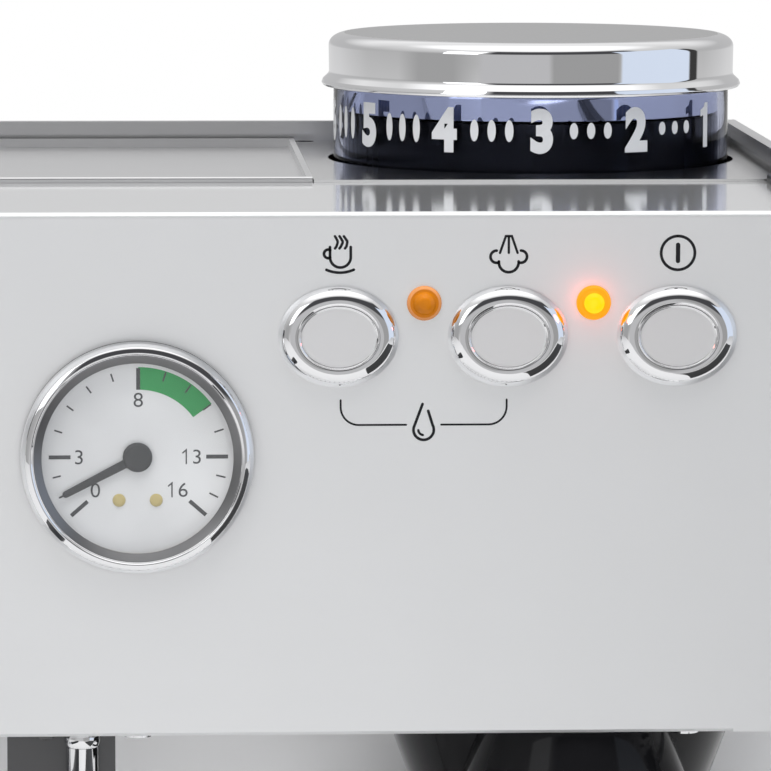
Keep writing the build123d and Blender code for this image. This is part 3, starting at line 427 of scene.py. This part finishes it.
def strip(bm, points, width, place, thickness=0.04):
    """A printed line of a constant width through 2D points in mm, with round ends."""
    line = [Vector(points[0])]
    for before, point in zip(points, points[1:]):
        if (Vector(point) - Vector(before)).length > 1e-6:
            line.append(Vector(point))
    left, right = [], []
    for index, point in enumerate(line):
        before = (point - line[index - 1]).normalized() if index else None
        after = (line[index + 1] - point).normalized() if index < len(line) - 1 else None
        along = ((before or after) + (after or before)).normalized()
        normal = Vector((-along.y, along.x))
        half_turn = (before or after).angle(after or before) / 2
        reach = width / 2 / max(math.cos(half_turn), 0.4)
        left.append(point + normal * reach)
        right.append(point - normal * reach)
    first = (line[0] - line[1]).normalized()
    last = (line[-1] - line[-2]).normalized()

    def cap(centre, heading):
        turn = math.atan2(heading.y, heading.x)
        angles = [turn + math.pi / 2 - math.pi * k / 8 for k in range(1, 8)]
        return [centre + Vector((math.cos(a), math.sin(a))) * width / 2 for a in angles]

    outline = left + cap(line[-1], last) + right[::-1] + cap(line[0], first)
    # quads along the run and a fan at each end keep the faces flat and convex
    for out in (thickness, 0.0):
        lefts = [bm.verts.new(place(p, out)) for p in left]
        rights = [bm.verts.new(place(p, out)) for p in right]
        for index in range(len(left) - 1):
            bm.faces.new((lefts[index], rights[index], rights[index + 1], lefts[index + 1]))
        ends = (
            (rights[0], lefts[0], line[0], first),
            (lefts[-1], rights[-1], line[-1], last),
        )
        for corner, other, centre, heading in ends:
            rim = [bm.verts.new(place(p, out)) for p in cap(centre, heading)]
            bm.faces.new([corner, other] + rim[::-1])
    rim_top = [bm.verts.new(place(p, thickness)) for p in outline]
    rim_low = [bm.verts.new(place(p, 0.0)) for p in outline]
    for index in range(len(outline)):
        after = (index + 1) % len(outline)
        bm.faces.new((rim_top[index], rim_top[after], rim_low[after], rim_low[index]))


def on_plane(centre):
    """Placer for flat marks on a surface that faces the user: (x, z) in mm and a height in mm."""
    def place(point, out):
        return centre + Vector((point[0], -out, point[1])) * MM
    return place


def on_drum(centre, radius):
    """Placer that wraps (arc length, height) in mm round a vertical drum, 0 being at the front."""
    def place(point, out):
        turn = point[0] / radius
        reach = radius + out
        return centre + Vector((reach * math.sin(turn), -reach * math.cos(turn), point[1])) * MM
    return place


def flat_polygon(bm, points, place, thickness=0.04):
    """A filled outline with a little thickness."""
    top = [bm.verts.new(place(p, thickness)) for p in points]
    low = [bm.verts.new(place(p, 0.0)) for p in points]
    bm.faces.new(top)
    bm.faces.new(low[::-1])
    for index in range(len(points)):
        after = (index + 1) % len(points)
        bm.faces.new((top[index], low[index], low[after], top[after]))


def figure(bm, text, height, squeeze, bold, at, place, thickness=0.04):
    """A printed number: the built-in font, made height mm tall, squeezed and emboldened."""
    curve = bpy.data.curves.new("figure", "FONT")
    curve.body = text
    curve.size = 1.0
    curve.offset = bold
    curve.resolution_u = 6
    curve.align_x = "LEFT"
    holder = bpy.data.objects.new("figure", curve)
    bpy.context.scene.collection.objects.link(holder)
    bpy.context.view_layer.update()
    mesh = bpy.data.meshes.new_from_object(holder.evaluated_get(bpy.context.evaluated_depsgraph_get()))
    bpy.data.objects.remove(holder)
    bpy.data.curves.remove(curve)
    shape = bmesh.new()
    shape.from_mesh(mesh)
    bpy.data.meshes.remove(mesh)
    for _ in range(2):
        long_edges = [e for e in shape.edges if e.calc_length() > 0.12]
        bmesh.ops.subdivide_edges(shape, edges=long_edges, cuts=1)
    bmesh.ops.triangulate(shape, faces=shape.faces)
    xs = [v.co.x for v in shape.verts]
    ys = [v.co.y for v in shape.verts]
    middle_x, middle_y = (min(xs) + max(xs)) / 2, (min(ys) + max(ys)) / 2
    scale = height / (max(ys) - min(ys))
    lookup = {}
    for v in shape.verts:
        flat = (at[0] + (v.co.x - middle_x) * scale * squeeze, at[1] + (v.co.y - middle_y) * scale)
        lookup[v] = (bm.verts.new(place(flat, thickness)), bm.verts.new(place(flat, 0.0)))
    for face in shape.faces:
        bm.faces.new([lookup[v][0] for v in face.verts])
        bm.faces.new([lookup[v][1] for v in reversed(face.verts)])
    for edge in shape.edges:
        if len(edge.link_faces) == 1:
            a, b = (lookup[v] for v in edge.verts)
            bm.faces.new((a[0], b[0], b[1], a[1]))
    shape.free()


# ---------------------------------------------------------------- hopper
def build_hopper():
    seat = (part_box("hopper_lid")[0].z - DECK_Z) / MM  # the plug's lower edge
    collar_top = (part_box("hopper_collar")[1].z - DECK_Z) / MM
    collar_low = (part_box("hopper_collar")[0].z - DECK_Z) / MM
    flange = collar_top + 0.3
    top = (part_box("hopper_lid")[1].z - DECK_Z) / MM
    round_in, round_down = 4.3, 2.9
    shoulder = [
        (48.9 - round_in * (1 - math.cos(t)), top - 0.02 - round_down * (1 - math.sin(t)))
        for t in [math.pi / 2 * (1 - k / 12) for k in range(13)]
    ]
    skirt = [
        (48.8, flange + 2.9),
        (50.3, flange + 1.5),
        (50.65, flange + 0.6),
        (50.2, flange),
        (45.1, flange),
        (45.1, seat),
        (44.3, seat),
        (44.3, top - 1.2),
    ]
    skirt = softened(shoulder[-1:] + skirt, [0, 1.4, 0.5, 0.4, 0.3, 0.2, 0.2, 0.2, 0], 8)
    lid = swept(
        "lid_shell",
        [(shoulder[0][0] - 0.4, top - 0.02)] + shoulder + skirt[1:],
        turned_up(HOPPER),
        ["chrome", "lid_top"],
        "lid",
        steps=256,
        paint=lambda a, b: 1 if min(a[1], b[1]) > top - 0.1 else 0,
        capped=True,
    )
    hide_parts("hopper_lid")

    bore = 45.5
    radius = round((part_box("hopper_collar")[1].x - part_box("hopper_collar")[0].x) / 2 / MM, 1)
    wall = [(bore, collar_low), (radius, collar_low), (radius, collar_top), (bore, collar_top)]
    wall = softened(wall, 0.4, 3)
    collar = swept("collar_drum", wall, turned_up(HOPPER), "collar", "hopper", steps=256)
    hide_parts("hopper_collar")

    # grind numbers, 3 at the front, and three dots that grow towards the coarse end
    marks = bmesh.new()
    place = on_drum(HOPPER, radius)
    number_turn, dot_turn, offset_turn = 28.2, 5.0, -1.5  # degrees
    number_mid, number_high, print_thick = 9.8, 10.6, 0.06
    for number in range(2, 7):
        turn = math.radians((3 - number) * number_turn + offset_turn)
        centre = (turn * radius, number_mid)
        figure(marks, str(number), number_high, 0.86, 0.055, centre, place, print_thick)
    one = [(0.3, -5.3), (0.3, 5.3), (-1.0, 5.3), (-1.5, 4.3)]
    one += [(-3.0, 3.6), (-3.0, 2.0), (-1.7, 2.4), (-1.7, -5.3)]
    one_right = 1.4  # the drawn 1 stands this far right of its place
    turn = math.radians(2 * number_turn + offset_turn)
    one = [(turn * radius + one_right + x, number_mid + z) for x, z in one]
    flat_polygon(marks, one, place, print_thick)
    dot_highs = {1: 3.1, 2: 3.8, 3: 5.1, 4: 6.5, 5: 7.6}
    dot_half, dot_steps = 1.0, 24
    for number, dot_high in dot_highs.items():
        for step in (-1, 0, 1):
            turn = math.radians((3 - number - 0.5) * number_turn + offset_turn + dot_turn * step)
            centre = (turn * radius, number_mid)
            oval = [
                (centre[0] + dot_half * math.cos(a), centre[1] + dot_high / 2 * math.sin(a))
                for a in [2 * math.pi * k / dot_steps for k in range(dot_steps)]
            ]
            flat_polygon(marks, oval, place, print_thick)
    from_bmesh("grind_numbers", marks, "number", "hopper", sharp=60)


# ---------------------------------------------------------------- buttons and lamps
def build_buttons():
    # a ring's crown starts steep at its outer edge, and is level at this share of its width
    ring_out = (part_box("button_rings")[1].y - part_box("button_rings")[0].y) / MM
    level_at, steepest, across = 0.84, 64.0, 4.1
    crown = [(0.0, 0.0)]
    for step in range(1, 33):
        share = step / 32
        slope = math.radians(steepest * (1 - (share - 1 / 64) / level_at))
        crown.append((share, crown[-1][1] + math.tan(slope) * across / 32))
    ring_foot = ring_out - 0.03 - max(height for _, height in crown)
    crown = [(share, height + ring_foot) for share, height in crown[1:]]
    ring_lip = crown[-1][1]
    for name in BUTTONS:
        centre = Vector((middle(name).x, FACE_Y, middle(name).z))
        low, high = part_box(name)
        cap_half = ((high.x - low.x) / 2 / MM, (high.z - low.z) / 2 / MM)
        cap_out = (FACE_Y - low.y) / MM
        ring = [(0.0, 0.0), (0.0, ring_foot)] + crown + [(1.0, 0.0)]
        gap = 0.05  # between the ring and the cap
        made = swept(
            f"{name}_ring",
            ring,
            oval_front(centre, (13.0, 10.95), (cap_half[0] + gap, cap_half[1] + gap)),
            "chrome",
            "machine",
            steps=200,
            sharp=50,
        )
        if name == BUTTONS[0]:
            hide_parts("button_rings")
        rim = 0.75 / cap_half[0]
        cap = [
            (0.0, -1.9),
            (0.0, ring_lip - 0.25),
            (0.2 * rim, cap_out - 0.08),
            (0.5 * rim, cap_out),
            (0.85 * rim, cap_out - 0.28),
            (1.0 * rim, cap_out - 0.32),
            (1.5 * rim, cap_out - 0.32),
        ]
        body = BODY_OF[name]
        made = swept(
            f"{name}_cap",
            cap[:1] + softened(cap, [0, 0.3, 0.3, 0.3, 0.1, 0, 0], 5)[1:],
            oval_front(centre, cap_half, (0.0, 0.0)),
            ["button", "chrome"],
            body,
            steps=200,
            paint=lambda a, b: 0 if min(a[0], b[0]) >= 0.99 * rim else 1,
            capped=True,
        )
        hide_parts(name)
        # the plunger behind the cap
        stem_end = (FACE_Y - high.y) / MM
        stem = [(3.2, -1.9), (3.2, stem_end + 0.3), (2.9, stem_end)]
        swept(f"{name}_stem", stem, turned_front(centre), "black", body, 48, capped=True)


def build_lamps():
    for name, core, rim, rim_from in (
        ("lamp_ready", "unlit_lens_painted_glow", "unlit_rim_painted_glow", 3.1),
        ("lamp_power", "lamp_lit", "lamp_lit_rim", 2.4),
    ):
        centre = Vector((middle(name).x, FACE_Y, middle(name).z))
        back = (FACE_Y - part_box(name)[1].y) / MM
        front = (FACE_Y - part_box(name)[0].y) / MM
        profile = [
            (2.45, back),
            (2.45, 0.0),
            (3.75, 0.0),
            (3.75, 0.5),
            (3.2, 1.1),
            (2.5, 1.1),
            (2.15, 1.9),
            (1.3, front - 0.15),
            (0.35, front),
        ]
        lens = swept(
            f"{name}_lens",
            softened(profile, [0, 0, 0.1, 0.5, 0.4, 0.3, 0.6, 0.8, 0], 6),
            turned_front(centre),
            [core, rim],
            "machine",
            steps=96,
            sharp=50,
            paint=lambda a, b: 1 if max(a[0], b[0]) > rim_from and min(a[1], b[1]) > -0.1 else 0,
            capped=True,
        )
        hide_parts(name)


# ---------------------------------------------------------------- gauge
def build_gauge():
    rim = [
        (22.4, 0.0),
        (25.2, 0.0),
        (25.2, 1.4),
        (24.9, 3.0),
        (24.1, 4.1),
        (22.95, 4.6),
        (22.55, 4.2),
        (22.3, 4.3),
        (20.5, 2.86),
        (21.15, 2.84),
        (21.15, 0.3),
        (22.4, 0.3),
    ]
    # painted dark reflection: the outermost edge and the cone that leads down to the glass get a darker steel
    # colour, in place of the dark surroundings this chrome reflects
    outer_edge, lip, well_foot = 25.0, 22.35, 2.8
    bezel = swept(
        "gauge_rim",
        softened(rim, [0, 0, 0.8, 0.5, 1.0, 0.4, 0.15, 0.2, 0.1, 0, 0, 0], 6),
        turned_front(GAUGE),
        ["chrome", "rim_painted_dark_reflection"],
        "machine",
        steps=256,
        paint=lambda a, b: int(
            min(a[0], b[0]) > outer_edge or (max(a[0], b[0]) < lip and min(a[1], b[1]) > well_foot)
        ),
    )
    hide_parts("gauge_bezel")

    face = 0.1  # the dial's face stands this far in front of the panel
    print_right = 0.2  # and its print is this far right of the gauge's axis
    marks = bmesh.new()
    place = on_plane(GAUGE + Vector((print_right, -face, 0)) * MM)

    def spoke(turn, inner, outer, width):
        """turn is in degrees clockwise from the top."""
        heading = Vector((math.sin(math.radians(turn)), math.cos(math.radians(turn))))
        across = Vector((heading.y, -heading.x)) * width / 2
        near, far = heading * inner, heading * outer
        corners = (near - across, near + across, far + across, far - across)
        flat_polygon(marks, [tuple(p) for p in corners], place)

    for turn in (-131.2, -90, 0, 90, 131.2):
        spoke(turn, 14.6, 19.3, 0.85)
    for turn in (18, 36, 54, 72, 103.6, 117.4):
        spoke(turn, 17.2, 19.3, 0.35)
        spoke(-turn, 17.2, 19.0, 0.35)
    digits = (("8", 0.0, 12.4), ("3", -12.8, 0.0), ("3", 12.6, 0.0), ("0", -9.3, -7.2), ("6", 9.6, -7.2))
    for text, x, z in digits:
        figure(marks, text, 3.1, 1.05, -0.003, (x, z), place)
    for x, z in ((10.3, 0.0), (7.2, -7.2)):  # the ones of 13 and 16
        strip(marks, [(x - 0.75, z + 0.85), (x, z + 1.5), (x, z - 1.5)], 0.3, place)
    from_bmesh("dial_marks", marks, "tick", "machine", sharp=60)

    green = bmesh.new()
    outer, inner = (
        [(radius * math.sin(math.radians(t)), radius * math.cos(math.radians(t))) for t in range(0, 55, 3)]
        for radius in (19.5, 14.6)
    )
    flat_polygon(green, outer + inner[::-1], place, 0.03)
    from_bmesh("dial_green_zone", green, "green", "machine", sharp=60)

    for sign in (-1, 1):
        centre = GAUGE + Vector((4.0 * sign, -face, -9.4)) * MM
        rivet = [(1.4, 0.0), (1.4, 0.15), (1.1, 0.36), (0.4, 0.42)]
        name = "dial_rivet_left" if sign < 0 else "dial_rivet_right"
        swept(name, rivet, turned_front(centre), "rivet", "machine", 32, capped=True)

    # needle: a tapered hand and a domed hub
    hand = bmesh.new()
    turn = math.radians(-117.3)
    heading = Vector((math.sin(turn), math.cos(turn)))
    across = Vector((heading.y, -heading.x))
    reach, half_root, half_tip = 17.4, 1.0, 0.72
    blade = [(-half_root, 0.0), (half_root, 0.0)] + arc((0.0, reach), half_tip, 0, 180, 10)
    needle_place = on_plane(GAUGE + Vector((0, -0.65, 0)) * MM)
    flat_polygon(hand, [tuple(across * x + heading * z) for x, z in blade], needle_place, 0.35)
    point = [tuple(heading * reach), tuple(heading * (reach + 1.5))]
    strip(hand, point, 0.35, needle_place, 0.3)
    needle = from_bmesh("needle_hand", hand, "needle", "needle")
    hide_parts("gauge_needle")
    hub = [(0.75, -9.0), (0.75, 0.55), (3.2, 0.55), (3.2, 1.1), (2.7, 1.4), (0.8, 1.5)]
    hub = softened(hub, [0, 0, 0.1, 0.3, 0.4, 0], 4)
    swept("needle_hub", hub, turned_front(GAUGE), "needle", "needle", 64, capped=True)


# ---------------------------------------------------------------- printed icons
def build_icons():
    icon_z = LEDGE_Z - 9.0 * MM
    xs = [middle(name).x for name in BUTTONS]
    stroke = 0.6

    cup = bmesh.new()
    place = on_plane(Vector((xs[0] + 0.1 * MM, FACE_Y, icon_z)))
    bowl = [(-1.92, 1.47)] + arc((0.31, -0.71), 2.23, 180, 360, 20) + [(2.54, 1.47)]
    strip(cup, bowl, stroke, place)
    strip(cup, arc((-2.29, 0.02), 0.93, 62, 298, 18), stroke, place)
    strip(cup, arc((0.25, 3.2), 7.25, 246, 294, 14), stroke, place)
    for top, bend, foot in ((-0.88, -0.29, -0.84), (0.12, 0.79, 0.12), (1.05, 1.78, 1.31)):
        wisp = [(top, 3.81), (top + 0.25, 3.45), (bend, 2.75), (bend, 2.4), (foot + 0.3, 1.6), (foot, 1.19)]
        strip(cup, wisp, 0.56, place)
    from_bmesh("icon_cup", cup, "ink", "machine", sharp=60)

    steam = bmesh.new()
    place = on_plane(Vector((xs[1] + 0.1 * MM, FACE_Y, icon_z)))
    strip(steam, [(-1.9, 0.12), (-0.65, 3.74), (0.65, 3.74), (1.9, 0.12)], 0.52, place)
    strip(steam, [(0.0, 3.74), (0.0, 0.12)], 0.52, place)
    for sign in (-1, 1):
        lobe = [(sign * x, z) for x, z in arc((2.62, -0.71), 1.32, 90, -110, 20)]
        strip(steam, lobe, stroke, place)
    strip(steam, arc((0.0, -1.93), 2.14, 175, 365, 20), stroke, place)
    from_bmesh("icon_steam", steam, "ink", "machine", sharp=60)

    power = bmesh.new()
    place = on_plane(Vector((xs[2] + 0.1 * MM, FACE_Y, icon_z)))
    strip(power, arc((0, 0), 3.65, 90, 450, 64), 0.62, place)
    strip(power, [(0, 1.75), (0, -1.75)], 0.95, place)
    from_bmesh("icon_power", power, "ink", "machine", sharp=60)

    water = bmesh.new()
    line_z = LEDGE_Z - 46.1 * MM
    place = on_plane(Vector((0, FACE_Y, line_z)))
    left, right = xs[0] / MM + 0.5, xs[1] / MM - 0.2
    middle_x = (left + right) / 2
    corner = 3.9
    for end, sign in ((left, 1), (right, -1)):
        bend = [(end, 5.4), (end, corner)]
        bend += [
            (end + sign * corner * (1 - math.cos(a)), corner * (1 - math.sin(a)))
            for a in [math.pi / 2 * k / 10 for k in range(1, 11)]
        ]
        bend.append((middle_x - sign * 3.8, 0.0))
        strip(water, bend, 0.42, place)
    drop_z, drop_r = -1.1, 2.2
    side = [(-0.25, drop_z + 5.6), (-1.93, drop_z + 1.05)]
    lower = arc((0, drop_z), drop_r, 152, 388, 26)
    other = [(0.98, drop_z + 4.1)]
    strip(water, [(middle_x + x, z) for x, z in side[:1] + lower + other], stroke, place)
    strip(water, [(middle_x + x, z) for x, z in arc((0.0, drop_z), 1.15, 185, 262, 8)], 0.52, place)
    from_bmesh("icon_water", water, "ink", "machine", sharp=60)


# ---------------------------------------------------------------- grips
def build_grips():
    low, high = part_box("portafilter_handle")
    centre = Vector((middle("portafilter_handle").x, high.y, middle("portafilter_handle").z))
    length = (high.y - low.y) / MM
    outline = [(0.01, 0.0), (10.4, 0.0), (10.8, 0.03), (10.2, 0.07), (11.2, 0.25), (14.0, 0.5), (15.3, 0.7)]
    outline += [(15.1, 0.85), (13.4, 0.955), (9.0, 0.992), (0.01, 1.0)]
    profile = [(radius, share * length) for radius, share in outline]
    grip = swept(
        "handle_grip",
        softened(profile, [0, 0.6, 0.8, 3, 12, 14, 9, 7, 4, 3, 0], 8),
        turned_front(centre),
        "black",
        "portafilter_assembly",
        steps=96,
        sharp=50,
    )
    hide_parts("portafilter_handle")


build_hopper()
build_buttons()
build_lamps()
build_gauge()
build_icons()
build_grips()


# ---------------------------------------------------------------- floor, light and camera
def build_stage():
    """A pale floor that ends 1.3 m in front, so that upright metal reflects the studio beyond it."""
    half, front, back, squares = 3.0, -1.3, 3.0, 8
    bm = bmesh.new()
    bmesh.ops.create_grid(bm, x_segments=squares, y_segments=squares, size=1.0)
    for v in bm.verts:
        v.co = Vector((v.co.x * half, front + (v.co.y + 1) / 2 * (back - front), 0))
    mesh = bpy.data.meshes.new("floor")
    bm.to_mesh(mesh)
    bm.free()
    floor = bpy.data.objects.new("floor", mesh)
    floor.location.z = cad_box[0].z - 0.0002
    bpy.context.scene.collection.objects.link(floor)
    material, tree, shader = new_material("floor_pale")
    blotched(tree, shader, (0.58, 0.58, 0.58), 0.01, 2.0)
    shader.inputs["Roughness"].default_value = 0.6
    floor.data.materials.append(material)


def build_world():
    """A soft studio that the metal reflects: white overhead, grey low down behind, and in front greys,
    a window and a dark band. The camera itself sees plain white."""
    world = bpy.data.worlds.new("studio")
    bpy.context.scene.world = world
    world.use_nodes = True
    tree = world.node_tree
    background = tree.nodes["Background"]
    place = node(tree, "ShaderNodeTexCoord")
    split = node(tree, "ShaderNodeSeparateXYZ")
    tree.links.new(place.outputs["Generated"], split.inputs["Vector"])

    def maths(operation, *inputs):
        made = node(tree, "ShaderNodeMath", operation=operation)
        for index, value in enumerate(inputs):
            if isinstance(value, (int, float)):
                made.inputs[index].default_value = value
            else:
                tree.links.new(value, made.inputs[index])
        return made.outputs[0]

    def within(value, low, high, soft):
        """1 between two angles in degrees, falling to 0 over the soft edge."""
        rise = ranged(tree, value, 0.0, 1.0, math.radians(low - soft), math.radians(low + soft))
        fall = ranged(tree, value, 1.0, 0.0, math.radians(high - soft), math.radians(high + soft))
        return maths("MULTIPLY", rise, fall)

    def over(base, top, share):
        mix = node(tree, "ShaderNodeMix", data_type="RGBA")
        for value, socket in ((share, mix.inputs[0]), (base, mix.inputs[6]), (top, mix.inputs[7])):
            if isinstance(value, tuple):
                socket.default_value = (*value, 1)
            else:
                tree.links.new(value, socket)
        return mix.outputs[2]

    # azimuth is 0 straight in front of the machine and grows to the right
    azimuth = maths("ARCTAN2", split.outputs["X"], maths("MULTIPLY", split.outputs["Y"], -1.0))
    elevation = maths("ARCSINE", split.outputs["Z"])
    height = node(tree, "ShaderNodeValToRGB")
    ramp = height.color_ramp
    stops = ((0.0, 0.85), (0.44, 0.80), (0.50, 0.52), (0.57, 0.50), (0.78, 0.78), (0.84, 1.25), (1.0, 1.3))
    for index, (position, value) in enumerate(stops):
        element = ramp.elements[index] if index < 2 else ramp.elements.new(position)
        element.position = position
        element.color = (value, value, value, 1)
    quarter = math.pi / 2
    tree.links.new(ranged(tree, elevation, 0.0, 1.0, -quarter, quarter), height.inputs["Fac"])
    colour = height.outputs["Color"]
    patches = (
        # azimuth from, to, elevation from, to, soft edge, colour
        (-78, -42, -24, 16, 7.0, (0.40, 0.40, 0.40)),
        (-33, 7, -24, 13, 2.0, (0.56, 0.56, 0.57)),
        (7, 47, -24, 13, 1.5, (0.38, 0.38, 0.38)),
        (-30, 66, 15, 48, 3.0, (0.07, 0.07, 0.075)),
        (48, 97, -24, 36, 0.8, (0.76, 0.85, 1.0)),
        (97, 104, -24, 30, 0.8, (0.05, 0.05, 0.05)),
    )
    for low, high, foot, head, soft, tint in patches:
        share = maths("MULTIPLY", within(azimuth, low, high, soft), within(elevation, foot, head, soft))
        colour = over(colour, tint, share)
    behind = ranged(tree, split.outputs["Y"], 0.0, 1.0, 0.35, 0.8)
    low_sky = within(elevation, -5, 28, 8.0)
    colour = over(colour, over((1.0, 1.0, 1.0), (0.54, 0.54, 0.545), low_sky), behind)
    path = node(tree, "ShaderNodeLightPath")
    colour = over(colour, (1.0, 1.0, 1.0), path.outputs["Is Camera Ray"])
    tree.links.new(colour, background.inputs["Color"])


def softbox(name, place, target, size, power, tint=(1, 1, 1), mirrored=True):
    light = bpy.data.lights.new(name, "AREA")
    light.shape = "RECTANGLE"
    light.size, light.size_y = size
    light.energy = power
    light.color = tint
    obj = bpy.data.objects.new(name, light)
    obj.location = place
    obj.rotation_euler = (Vector(target) - Vector(place)).to_track_quat("-Z", "Y").to_euler()
    obj.visible_glossy = mirrored
    bpy.context.scene.collection.objects.link(obj)


def build_lights():
    softbox("key_left", (-1.6, -1.6, 1.5), (0, 0, 0.25), (1.0, 1.4), 6, (0.97, 0.985, 1.0))
    softbox("top", (0.0, -0.3, 2.2), (0, -0.2, 0.3), (1.6, 1.6), 42, mirrored=False)
    softbox("fill_front", (0.3, -2.0, 0.7), (0, 0, 0.25), (1.5, 1.5), 11, mirrored=False)
    # the lit pilot lamp's red halo on the panel
    glow = bpy.data.lights.new("lamp_glow", "POINT")
    glow.energy = 0.0012
    glow.color = (1.0, 0.12, 0.08)
    glow.shadow_soft_size = 0.002
    halo = bpy.data.objects.new("lamp_glow", glow)
    halo.location = Vector((middle("lamp_power").x, FACE_Y - 6.0 * MM, middle("lamp_power").z))
    bpy.context.scene.collection.objects.link(halo)


def build_flag():
    """A dark card low on the right that the metal reflects and the camera doesn't see."""
    bm = bmesh.new()
    corners = ((0.22, -1.05), (1.1, -1.05), (1.1, -0.12), (0.22, -0.12))
    bm.faces.new([bm.verts.new((x, y, 0.004)) for x, y in corners])
    mesh = bpy.data.meshes.new("flag")
    bm.to_mesh(mesh)
    bm.free()
    flag = bpy.data.objects.new("flag", mesh)
    bpy.context.scene.collection.objects.link(flag)
    flag.data.materials.append(M["rubber"])
    flag.visible_camera = False
    flag.visible_diffuse = False
    flag.visible_shadow = False


def build_camera():
    """Level view that the lens looks down and across from, centred on the machine's width."""
    away = 1101.0 * MM
    above = 98.0 * MM
    right, down, roll = 0.0543, 0.1231, math.radians(0.126)
    camera_data = bpy.data.cameras.new("camera")
    camera_data.sensor_width = 36.0
    camera_data.lens = 240.5
    camera = bpy.data.objects.new("camera", camera_data)
    bpy.context.scene.collection.objects.link(camera)
    camera.location = (0.0, FACE_Y - away, LEDGE_Z + above)
    aim = Vector((right, 1.0, -down)).to_track_quat("-Z", "Y").to_matrix()
    camera.rotation_euler = (aim @ Matrix.Rotation(roll, 3, "Z")).to_euler()
    camera_data.clip_start, camera_data.clip_end = 0.05, 50
    bpy.context.scene.camera = camera


build_stage()
build_world()
build_lights()
build_flag()
build_camera()
bpy.context.scene.view_settings.view_transform = "Standard"
